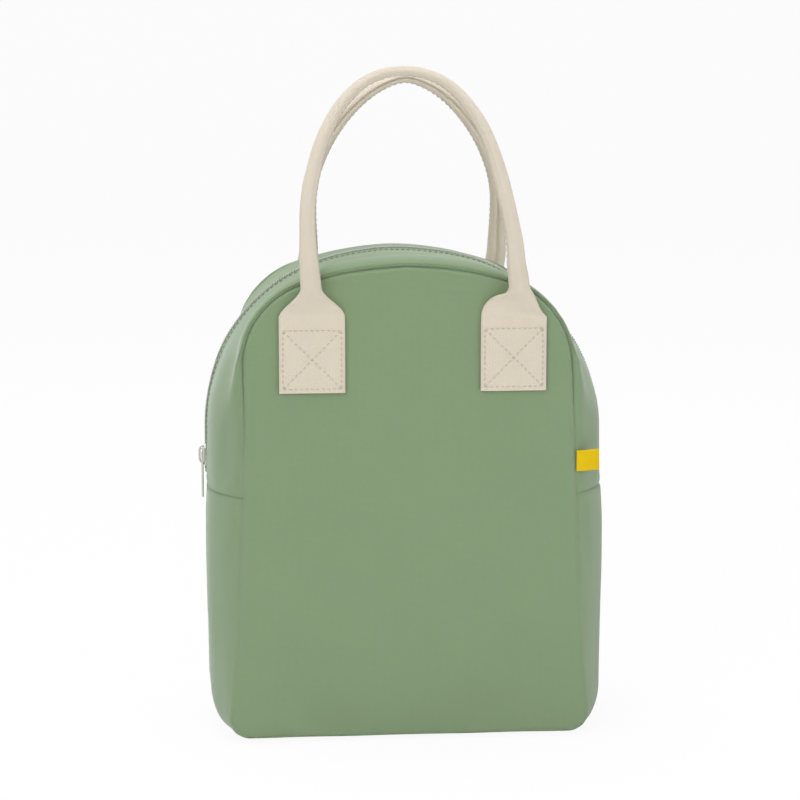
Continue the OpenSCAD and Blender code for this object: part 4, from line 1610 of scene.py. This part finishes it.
@dataclass
class ZipChain:
    """Zip tapes, coil teeth and end stops along the arch."""

    form: BagForm
    paint: Palette
    fold: Fold
    drapes: Drapes
    pitch: float = 1.7
    wire: float = 0.42
    reach: float = 1.7
    tape_half: float = 14.0
    per_tooth: int = 12
    left_stop: tuple[float, float] = (148.3, 151.6)
    right_stop: tuple[float, float] = (148.2, 149.9)
    stop_half: float = 2.6

    def line(self, count: int, side: Side) -> tuple[Grid, Grid]:
        """Evenly spaced points along the zip, as the settled canvas carries it.

        Args:
            count: Number of points.
            side: Front or rear row.

        Returns:
            Points n by 2 and outward vectors n by 3.
        """
        ks = np.linspace(Station.FOLD, Station.FOLD.left, 2400)
        run = self.form.run(ks)
        at = np.interp(np.linspace(0, run[-1], count), run, ks)
        edge = np.array([side.value * self.form.zip_gap])
        line = self.form.skin(at, edge, 0) + self.drapes.strips[side].at(at, edge)
        return line[:, 0, [0, 2]], np.array([self.form.outward(k) for k in at])

    def tape(self, side: Side) -> bpy.types.Object:
        """Woven tape on one side, under the canvas edge.

        Args:
            side: Front or rear row.

        Returns:
            The finished piece.
        """
        ys = np.sort(side.value * np.linspace(1.6, self.tape_half, 9))
        parts = self.form.layer(TOP, ys, 1.1, 0.5, self.drapes.strips[side].at(TOP, ys), (1.0, 1.0))
        piece = build_mesh(f"zip_tape_{side.label}", *parts)
        nodes = ("zip_tape_front", "zip_tape_fixed") if side is Side.FRONT else ("zip_tape_rear",)
        return dress(piece, self.paint.tape, "zip_tape", *nodes)

    def coil(self, side: Side) -> bpy.types.Object:
        """Coil of one row: a wire loop for each tooth, meshed with the other row.

        Args:
            side: Front or rear row.

        Returns:
            The finished piece.
        """
        total = self.form.run(np.linspace(Station.FOLD, Station.FOLD.left, 400))[-1]
        per = self.per_tooth
        count = int(total / self.pitch) * per + 1
        base, out = self.line(count, side)
        shift = 0.0 if side is Side.FRONT else 0.5
        turn = 2 * math.pi * (np.arange(count) / per + shift)
        head = 0.55 - self.reach * 0.5 * (1 + np.cos(turn)) + self.reach
        depth = side.value * (head - 0.35)
        rise = 0.15 + 0.75 * np.sin(turn)
        centres = np.stack([base[:, 0], depth, base[:, 1]], -1) + out * (rise - 0.1)[:, None]
        keep = slice(per * 3, count - per * 3)
        centres = centres[keep]
        along = directions(centres)
        across = np.cross(along, out[keep])
        across /= np.maximum(np.linalg.norm(across, axis=1), 1e-6)[:, None]
        wire = tube(centres, across, np.cross(across, along), (self.wire, self.wire), 2, 5)
        piece = build_mesh(f"zip_coil_{side.label}", *wire, sharp=80)
        nodes = ("zip_teeth_front", "zip_teeth_fixed") if side is Side.FRONT else ("zip_teeth_rear",)
        return dress(piece, self.paint.coil, "zip_teeth", *nodes)

    def stop(self, edge: int) -> bpy.types.Object:
        """Bent metal staple at one end of the zip.

        Args:
            edge: 1 for the right end and -1 for the left end.

        Returns:
            The finished piece.
        """
        z0, z1 = self.left_stop if edge < 0 else self.right_stop
        a = np.linspace(0, math.pi, 13)
        y = self.stop_half * np.cos(a)
        x = edge * (self.form.middle.half_width - 1.6 + 1.9 * np.sin(a) ** 0.7)
        centres = np.stack([x, y, np.full(len(a), (z0 + z1) / 2)], -1)
        normal = np.stack([edge * np.sin(a), np.cos(a), 0 * a], -1)
        normal /= np.linalg.norm(normal, axis=1)[:, None]
        label = "right" if edge > 0 else "left"
        piece = build_mesh(f"zip_end_{label}", *tube(centres, UPWARD, normal, ((z1 - z0) / 2, 0.35), 4, 12))
        dress(piece, self.paint.nickel, "zip_metal", f"zip_stop_{label}")
        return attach(piece, "bag")

    def build(self) -> None:
        """Builds both rows and the stops."""
        for side in Side:
            for piece in (self.tape(side), self.coil(side)):
                self.fold.carry(piece, side)
        self.stop(1)
        self.stop(-1)


@dataclass
class Slider:
    """Zip slider with its bridge, and the long flat pull."""

    form: BagForm
    paint: Palette
    foot: float = 156.0
    length: float = 15.0
    half: float = 3.8
    plate: float = 1.3
    pull_half: float = 4.0
    pull_length: float = 30.0
    pull_thick: float = 1.3
    clear: float = 0.5
    under: float = 2.2
    sides: int = 48
    bevel: float = 0.28
    window: tuple[float, float, float] = (-6.2, 1.9, 5.9)
    hole: float = 1.55
    end: float = 0.9
    waist: tuple[float, float] = (15.5, 4.0)
    bar_radius: float = 0.68

    def plate_mesh(self, x0: float, x1: float, bow: float) -> tuple[Grid, Faces]:
        """Shield-shaped plate with bevelled edges.

        Args:
            x0: Lower side, across the plate.
            x1: Upper side.
            bow: Height of the crown in the middle of the plate.

        Returns:
            Points and faces.
        """
        a = np.linspace(0, 2 * math.pi, self.sides, endpoint=False)
        mid, r = self.foot + self.length / 2, rounded(a, 3.2)
        waist = 1 - 0.13 * np.cos(a * 2 - math.pi) * np.abs(np.sin(a)) ** 4
        y, z = self.half * r * np.cos(a) * waist, self.length / 2 * r * np.sin(a)
        levels = [(x0, 0.9), (x0 + 0.12 * (x1 - x0), 0.98), (x0 + 0.5 * (x1 - x0), 1.0),
                  (x0 + 0.85 * (x1 - x0), 0.98), (x1, 0.88), (x1 + bow * 0.7, 0.5), (x1 + bow, 0.12)]
        points = [(x, y[i] * s, mid + z[i] * s) for x, s in levels for i in range(self.sides)]
        return np.array(points), capped(len(levels), self.sides)

    def body(self) -> bpy.types.Object:
        """Two plates, their neck, rims and the bridge as one piece.

        Returns:
            The finished piece.
        """
        skin = -self.form.middle.half_width
        face = skin - self.clear
        top = face - self.plate
        back = skin + self.under
        parts = [self.plate_mesh(face, top, -0.25), self.plate_mesh(back, back + self.plate, 0.1)]
        s = np.linspace(0, 1, 25)
        low, high = self.foot + 2.2, self.foot + self.length - 1.4
        arch = np.stack([top + 0.3 - 3.2 * (1 - np.abs(2 * s - 1) ** 5), 0 * s, low + (high - low) * s], -1)
        parts.append(tube(arch, REARWARD, np.cross(directions(arch), REARWARD), (1.15, 0.6), 3.5, 14)[:2])
        neck = self.post(top, skin + 3, 0.0, self.foot + self.length - 3.5, 6)
        parts.append(tube(neck, UPWARD, REARWARD, (1.5, 0.42), 4, 12)[:2])
        for y in (-self.half + 0.4, self.half - 0.4):
            for a, b in ((skin - 0.7, skin + 0.55), (skin + 1.95, skin + 2.4)):
                rim = self.post(a, b, y * 0.97, self.foot + 6.8, 4)
                parts.append(tube(rim, UPWARD, REARWARD, (4.6, 0.36), 5, 16)[:2])
        return self.join("zip_slider_body", parts, "zip_slider", "slider")

    def post(self, start: float, end: float, y: float, z: float, count: int) -> Grid:
        """Points of a straight line through the plates, from one side to the other."""
        return np.stack([np.linspace(start, end, count), np.full(count, y), np.full(count, z)], -1)

    def pull(self) -> bpy.types.Object:
        """Flat pull with a window round the bridge, a waist and a round hole at its end.

        Returns:
            The finished piece.
        """
        x, z, low = -self.form.middle.half_width - 3, self.foot + self.length - 3, -self.pull_length
        holes = [self.ring(*self.window), self.ring(low + 3.9, self.hole, self.hole)]
        t = np.linspace(0, 2 * math.pi, 96, endpoint=False)
        mid, half = (self.end + low) / 2, (self.end - low) / 2
        r = rounded(t, 4.5)
        along = mid + half * np.sin(t) * r
        width = self.pull_half * (1 - 0.13 * np.exp(-(((along + self.waist[0]) / self.waist[1]) ** 2)))
        rim = np.stack([width * np.cos(t) * r, along], -1)
        return self.join("zip_pull_plate", [self.cut_plate(rim, holes, x, z), self.bar(x, z)], "zip_pull", "pull")

    def ring(self, centre: float, half_y: float, half_z: float) -> Grid:
        """Rounded opening in the pull.

        Args:
            centre: Its place along the pull.
            half_y: Half of its width.
            half_z: Half of its length.

        Returns:
            Points over width and length.
        """
        t = np.linspace(0, 2 * math.pi, 40, endpoint=False)
        r = rounded(t, 2 if half_y == half_z else 5)
        return np.stack([half_y * r * np.cos(t), centre + half_z * r * np.sin(t)], -1)

    def cut_plate(self, rim: Grid, holes: Sequence[Grid], x: float, z: float) -> tuple[Grid, Faces]:
        """Plate with holes and bevelled edges.

        Args:
            rim: Outer edge over width and length.
            holes: Openings in it.
            x: Position of its middle.
            z: Height of its pivot.

        Returns:
            Points and faces.
        """
        curve = bpy.data.curves.new("pull_outline", "CURVE")
        curve.dimensions = "2D"
        curve.fill_mode = "BOTH"
        curve.extrude = (self.pull_thick / 2 - self.bevel) * MM
        curve.bevel_depth = self.bevel * MM
        curve.bevel_resolution = 2
        curve.offset = -self.bevel * MM
        for loop in (rim, *holes):
            spline = curve.splines.new("POLY")
            spline.points.add(len(loop) - 1)
            flat = np.concatenate([loop * MM, np.zeros((len(loop), 1)), np.ones((len(loop), 1))], 1)
            spline.points.foreach_set("co", flat.ravel())
            spline.use_cyclic_u = True
        holder = bpy.data.objects.new("pull_outline", curve)
        bpy.context.scene.collection.objects.link(holder)
        mesh = holder.to_mesh()
        flat = np.array([v.co for v in mesh.vertices]) / MM
        faces = [list(p.vertices) for p in mesh.polygons]
        holder.to_mesh_clear()
        bpy.data.objects.remove(holder)
        bpy.data.curves.remove(curve)
        return np.stack([x + flat[:, 2], flat[:, 0], z + flat[:, 1]], -1), faces

    def bar(self, x: float, z: float) -> tuple[Grid, Faces]:
        """Round top bar that turns under the bridge.

        Args:
            x: Position of its middle.
            z: Its height.

        Returns:
            Points and faces.
        """
        y = np.linspace(-self.pull_half + 0.15, self.pull_half - 0.15, 9)
        centres = np.stack([np.full(len(y), x), y, np.full(len(y), z)], -1)
        sizes = np.full((len(y), 2), self.bar_radius)
        sizes[[0, -1]] = 0.45
        return tube(centres, RIGHTWARD, UPWARD, sizes, 2, 14)[:2]

    def join(self, name: str, parts: Sequence[tuple[Grid, Faces]], node: str, body: str) -> bpy.types.Object:
        """Joins parts into one metal piece.

        Args:
            name: Name of the piece.
            parts: Points and faces of each part.
            node: Solid that it replaces.
            body: Body that it rides on.

        Returns:
            The finished piece.
        """
        faces, start = [], 0
        for points, quads in parts:
            faces += [[i + start for i in quad] for quad in quads]
            start += len(points)
        piece = build_mesh(name, np.concatenate([points for points, _ in parts]), faces, sharp=38)
        dress(piece, self.paint.nickel, "zip_metal", node)
        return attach(piece, body)

    def build(self) -> None:
        """Builds the slider and its pull."""
        self.body()
        self.pull()


@dataclass
class Handle:
    """One webbing handle: two sewn ends and a grip folded lengthwise."""

    form: BagForm
    paint: Palette
    side: Side
    top: float
    arch: tuple[float, float]
    sway: float
    sway_run: float
    lean: float
    shift: float = 0.0
    neck_bend: float = 0.0
    offset: float = 58.8
    webbing: float = 38.5
    thick: float = 2.2
    foot: float = 210.0
    seam: float = 247.0
    lean_from: float = 284.0
    half_width: float = 4.6
    half_depth: float = 5.5
    crown_half: float = 2.9
    neck: float = 6.1
    canvas: float = 1.0
    gather: tuple[float, float] = (7, 18)
    slim: tuple[float, float] = (268, 40)
    bend_rise: tuple[float, float] = (268, 12)
    bend_fade: tuple[float, float] = (290, 50)
    bend_width: float = 9
    gap: float = 0.15
    sides: int = 40
    hinge_depth: float = 0.0595
    wave: tuple[float, float] = (34.0, 0.35)
    seam_above: float = 26

    @property
    def face(self) -> float:
        """Depth of the panel's outer face."""
        return self.form.half_depth + self.canvas

    @property
    def arch_foot(self) -> float:
        """Height where the arch starts."""
        return self.seam + (self.top - self.seam) * self.arch[0]

    @property
    def rise(self) -> float:
        """Height of the arch's centre line over its foot."""
        return self.top - self.crown_half - self.arch_foot

    def gathered(self, z: Grid) -> Grid:
        """Share by which the webbing is folded lengthwise at each height."""
        return smooth((z - self.seam - self.gather[0]) / self.gather[1])

    def section(self, z: Grid) -> Grid:
        """Size of the strap's section.

        Args:
            z: Heights.

        Returns:
            Half width and half depth of the webbing at each height.
        """
        fold, slim = self.gathered(z), ramp(z, *self.slim)
        crown = np.clip((z - self.arch_foot) / self.rise, 0, 1) ** 2
        width = self.webbing / 2 + (self.neck - self.webbing / 2) * fold + (self.half_width - self.neck) * slim
        depth = self.thick / 2 + (self.half_depth - self.thick / 2) * fold
        return np.stack([width + (self.crown_half - self.half_width) * crown, depth], -1)

    def line(self) -> tuple[Grid, Grid]:
        """Centre line of the whole strap in its own plane, and its direction.

        Returns:
            Points n by 2 and tangents n by 2.
        """
        c = self.arch_foot
        runs = ((self.foot, self.seam + 5, 17), (self.seam + 5, self.seam + 30, 26), (self.seam + 30, c, 12))
        up = np.concatenate([np.linspace(*run)[:-1] for run in runs])
        a = np.linspace(0, math.pi, 91)
        right = np.stack([np.full(len(up), self.offset), up], -1)
        power = self.arch[1]
        arch = np.stack([np.sign(np.cos(a)) * self.offset * np.abs(np.cos(a)) ** power,
                         c + self.rise * np.abs(np.sin(a)) ** power], -1)
        left = right[::-1] * np.array([-1, 1])
        points = np.concatenate([right, arch, left])
        z = points[:, 1]
        bend = np.exp(-(((z - self.bend_rise[0]) / self.bend_width) ** 2))
        bend += 0.7 * ramp(z, *self.bend_rise) * (1 - ramp(z, *self.bend_fade))
        points[:, 0] += self.shift + self.sway * smooth((z - self.seam) / self.sway_run)
        points[:, 0] += self.neck_bend * bend * (points[:, 0] > 0)
        return points, directions(points)

    def depth_at(self, z: Grid, sizes: Grid) -> Grid:
        """Depth of the centre line, which lies on the panel and then leans in over the bag.

        Args:
            z: Heights.
            sizes: Half width and half depth of the webbing at each height.

        Returns:
            The depths, without sign.
        """
        t = np.clip((z - self.lean_from) / (self.top - self.lean_from), 0, None)
        return self.face + self.gap + sizes[:, 1] + 0.2 * self.gathered(z) - self.lean * t**1.3

    def strap(self) -> bpy.types.Object:
        """The webbing from end to end.

        Returns:
            The finished piece.
        """
        line, tangent = self.line()
        z = line[:, 1]
        sizes, fold, sides = self.section(z), self.gathered(z), self.sides
        y = self.side.value * self.depth_at(z, sizes)
        centres = np.stack([line[:, 0], y, z], -1)
        across = np.stack([tangent[:, 1], 0 * z, -tangent[:, 0]], -1)
        depth = np.array([0.0, float(self.side.value), 0.0])
        a = np.linspace(0, 2 * math.pi, sides, endpoint=False)
        rings = np.zeros((len(z), sides, 3))
        for i in range(len(z)):
            r = rounded(a, 9 - 6.2 * fold[i])
            u, v = r * np.cos(a), r * np.sin(a)
            slit = 0.34 * fold[i] * np.exp(-((u / 0.16) ** 2)) * (v < 0)
            crease = 0.10 * fold[i] * np.exp(-(((np.abs(u) - 0.55) / 0.16) ** 2)) * (v > 0)
            v = v * (1 - slit - crease)
            rings[i] = centres[i] + across[i] * (sizes[i, 0] * u)[:, None] + depth * (sizes[i, 1] * v)[:, None]
        size, height = self.wave
        wave = ripple(rings, size, 0.9 + 0.5 * self.side.value)[..., None] * (height * fold)[:, None, None]
        rings += wave * np.array([0.7, 0.7, 0.3])
        spread = np.interp(a, [0, math.pi, 2 * math.pi], [0, self.webbing, 2 * self.webbing])
        cloth = np.stack(np.broadcast_arrays(spread[None, :], distances(centres)[:, None]), -1).reshape(-1, 2)
        faces = capped(len(z), sides)
        if self.side is Side.REAR:
            faces = [f[::-1] for f in faces]
        piece = build_mesh(f"{self.side.label}_handle_strap", rings.reshape(-1, 3), faces, cloth, sharp=60)
        dress(piece, self.paint.webbing, "webbing", f"{self.side.label}_handle_ends", f"{self.side.label}_grip")
        return self.swing(piece)

    def swing(self, piece: bpy.types.Object) -> bpy.types.Object:
        """Bakes the placement of a piece of the handle into its mesh, without bending it.

        Args:
            piece: The piece.

        Returns:
            The same piece.
        """
        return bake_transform(piece)

    def stitches(self) -> None:
        """Box and cross stitching on both ends, and the closing seam of the grip."""
        y, up = self.side.value * (self.face + self.thick + 0.16), (0.0, float(self.side.value), 0.0)
        half, low, high = self.webbing / 2 - 2.2, self.foot + 2.4, self.seam - 0.4
        for centre, place in ((self.shift + self.offset, "right"), (self.shift - self.offset, "left")):
            corners = [(-half, low), (half, low), (half, high), (-half, high), (-half, low), (half, high),
                       (half, low), (-half, high)]
            order = [(0, 1), (1, 2), (2, 3), (3, 0), (4, 5), (6, 7)]
            for number, (i, j) in enumerate(order):
                a, b = corners[i], corners[j]
                t = np.linspace(0.0, 1.0, 12)[:, None]
                flat = np.array(a) * (1 - t) + np.array(b) * t
                path = np.stack([flat[:, 0] + centre, np.full(len(t), y), flat[:, 1]], -1)
                row = beads(path, up, 2.3, 0.9, 0.36, f"{self.side.label}_{place}_stitch_{number}")
                nodes = (f"{self.side.label}_handle_stitches",) if number == 0 else ()
                dress(row, self.paint.thread, "thread", *nodes)
                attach(row, self.side.carrier)
        line, tangent = self.line()
        keep = line[:, 1] > self.seam + self.seam_above
        sizes = self.section(line[:, 1])
        y = self.side.value * self.depth_at(line[:, 1], sizes)
        centres = np.stack([line[:, 0], y, line[:, 1]], -1)[keep]
        inner = np.stack([-tangent[:, 1], 0 * y, tangent[:, 0]], -1)[keep]
        path = centres + inner * (sizes[keep, 0] * 0.96)[:, None]
        row = beads(path, inner, 2.6, 1.0, 0.34, f"{self.side.label}_grip_seam")
        dress(row, self.paint.thread, "thread")
        self.swing(row)

    def build(self) -> None:
        """Builds the strap and its stitches."""
        self.strap()
        self.stitches()


@dataclass
class SideLabel:
    """Folded woven label that stands out of the right front seam, left bare."""

    form: BagForm
    paint: Palette
    fold: Fold
    foot: float = 161.0
    width: float = 12.4
    reach: float = 13.0
    back: float = 4.0
    thick: float = 0.8
    sunk: float = 0.9
    edge: float = 0.9

    def build(self) -> None:
        """Builds the label as a folded loop with a soft bow and a rounded free end."""
        t = np.concatenate([np.linspace(0, 0.9, 22)[:-1], np.linspace(0.9, 1.0, 7)])
        rows = np.linspace(self.edge, self.width - self.edge, 9)
        heights = np.concatenate([[0, 0.15, 0.4], rows, self.width - np.array([0.4, 0.15, 0])])
        low = np.zeros((len(heights), len(t), 3))
        seam = self.form.panel.side_x(self.foot) + 0.3
        low[..., 0] = seam + (self.reach + self.sunk) * t
        low[..., 1] = -self.form.half_depth - self.sunk + self.back * t**1.4 - 0.5 * np.sin(math.pi * t)
        low[..., 2] = self.foot + heights[:, None] + 0.25 * np.sin(2.6 * t)
        pinch = np.minimum(1, np.minimum(heights, self.width - heights) / self.edge)[:, None] ** 0.5
        free_end = np.sqrt(np.clip((1 - t) / 0.08, 0, 1))[None, :]
        half = self.thick * (0.25 + 0.75 * pinch * free_end) / 2
        lift = np.array([0.25, -1.0, 0.0])
        lift /= np.linalg.norm(lift)
        cloth = np.stack(np.broadcast_arrays(heights[:, None], self.reach * t[None, :] + GUSSET_WEAVE), -1)
        front, rear = low + lift * half[..., None], low - lift * half[..., None]
        mesh = build_mesh("side_label_loop", *shell(rear, front, cloth))
        self.fold.apply(dress(mesh, self.paint.label, "label", "side_label"))


# ---------------------------------------------------------------- studio


def aimed(
    name: str, data: bpy.types.ID, place: tuple[float, float, float], target: tuple[float, float, float]
) -> bpy.types.Object:
    """Places a lamp or the camera and points it at a target.

    Args:
        name: Name of the new object.
        data: Its lamp or camera.
        place: Its position in metres.
        target: The target's position in metres.

    Returns:
        The new object.
    """
    made = bpy.data.objects.new(name, data)
    made.location = place
    made.rotation_mode = "QUATERNION"
    made.rotation_quaternion = (Vector(target) - made.location).to_track_quat("-Z", "Y")
    bpy.context.scene.collection.objects.link(made)
    return made


@dataclass(frozen=True)
class Lamp:
    """Soft square lamp: its place in metres, the length of its side and its power in watts."""

    name: str
    place: tuple[float, float, float]
    size: float
    power: float

    def build(self, target: tuple[float, float, float]) -> None:
        """Adds the lamp.

        Args:
            target: Position in metres that it is aimed at.
        """
        data = bpy.data.lights.new(self.name, "AREA")
        data.shape, data.size, data.energy = "SQUARE", self.size, self.power
        aimed(self.name, data, self.place, target)


@dataclass
class Studio:
    """White sweep, soft lamps and the camera, in metres."""

    distance: float = 1.600
    height: float = 0.459
    azimuth: float = -4.95
    aim: float = 0.1954
    focal_pixels: float = 2680.0
    frame: int = 800
    shift: float = -0.0027
    sensor: float = 36.0
    clip: tuple[float, float] = (0.05, 60.0)
    lamps: tuple[Lamp, ...] = (
        Lamp("key_lamp", (-1.1, -1.9, 1.6), 1.6, 22),
        Lamp("fill_lamp", (1.7, -1.9, 0.7), 1.8, 15),
        Lamp("top_lamp", (-0.2, 0.2, 2.4), 1.4, 34),
    )
    lamp_aim: float = 0.18
    sky: float = 0.46
    pale: float = 0.86
    white: float = 0.93
    wall: float = 3.0
    bend: float = 1.2
    tall: float = 7.0

    def camera(self) -> None:
        """Places the camera in front of the bag, slightly to its left and above."""
        data = bpy.data.cameras.new("front_camera")
        data.sensor_width = self.sensor
        data.lens = self.focal_pixels / self.frame * self.sensor
        data.shift_x = self.shift
        data.clip_start, data.clip_end = self.clip
        a = math.radians(self.azimuth)
        place = (self.distance * math.sin(a), -self.distance * math.cos(a), self.height)
        bpy.context.scene.camera = aimed("front_camera", data, place, (0, 0, self.aim))

    def sweep(self) -> None:
        """Pale floor that curves up into a backdrop."""
        turn = np.linspace(0, math.pi / 2, 9)
        ys = np.concatenate([[-6.0, -3.0, -1.0, 0.0, 1.0, 2.0], self.wall + self.bend * np.sin(turn)])
        zs = np.concatenate([np.zeros(6), self.bend - self.bend * np.cos(turn)])
        xs, ys, zs = np.linspace(-7, 7, 9), np.append(ys, self.wall + self.bend), np.append(zs, self.tall)
        grid = np.stack(np.broadcast_arrays(xs[:, None], ys[None, :], zs[None, :]), -1)
        floor = build_mesh("sweep", grid.reshape(-1, 3) / MM, grid_faces(len(xs), len(ys), flip=True))
        made = bpy.data.materials.new("pale_sweep")
        made.use_nodes = True
        tree = made.node_tree
        shader = tree.nodes["Principled BSDF"]
        fill(tree, shader, {"Base Color": (self.pale, self.pale, self.pale, 1.0), "Roughness": 0.9})
        glow, path = add_node(tree, "Emission", {"Strength": 1.0}), add_node(tree, "LightPath")
        seen = math_node(tree, "MAXIMUM", path.outputs["Is Camera Ray"], path.outputs["Is Glossy Ray"])
        share_white = math_node(tree, "MULTIPLY", seen, self.white)
        mix = add_node(tree, "MixShader", {0: share_white, 1: shader.outputs[0], 2: glow.outputs[0]})
        fill(tree, tree.nodes["Material Output"], {"Surface": mix.outputs[0]})
        floor.data.materials.append(made)

    def world(self) -> None:
        """Even light from all round, which the camera sees as white."""
        made = bpy.data.worlds.new("studio_world")
        made.use_nodes = True
        tree = made.node_tree
        soft = fill(tree, tree.nodes["Background"], {"Color": WHITE, "Strength": self.sky})
        plain = add_node(tree, "Background", {"Color": WHITE, "Strength": 1.0})
        seen = add_node(tree, "LightPath").outputs["Is Camera Ray"]
        mix = add_node(tree, "MixShader", {0: seen, 1: soft.outputs[0], 2: plain.outputs[0]})
        fill(tree, tree.nodes["World Output"], {"Surface": mix.outputs[0]})
        bpy.context.scene.world = made

    def build(self) -> None:
        """Builds the floor, the light and the camera."""
        self.sweep()
        for lamp in self.lamps:
            lamp.build((0, 0, self.lamp_aim))
        self.world()
        bpy.context.scene.view_settings.view_transform = "Standard"
        self.camera()
        log.info("studio: floor, %d lamps, camera", len(self.lamps))


def main() -> None:
    """Builds the bag round its solids."""
    logging.basicConfig(level=logging.INFO, format="%(name)s: %(message)s")
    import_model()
    paint, form, fold = Palette(), BagForm(), Fold()
    drapes = CanvasShell(form, paint, fold).build()
    Lining(form, paint, fold, drapes).build()
    ZipChain(form, paint, fold, drapes).build()
    Slider(form, paint).build()
    Handle(
        form, paint, Side.FRONT, top=397.5, arch=(0.29, 0.91), sway=-3.4, sway_run=80.0, lean=31.0,
        shift=1.3, neck_bend=3.2,
    ).build()
    Handle(form, paint, Side.REAR, top=390.0, arch=(0.46, 1.2), sway=6.0, sway_run=35.0, lean=18.0).build()
    SideLabel(form, paint, fold).build()
    Studio().build()
    bpy.context.view_layer.update()


if __name__ == "__main__":
    main()
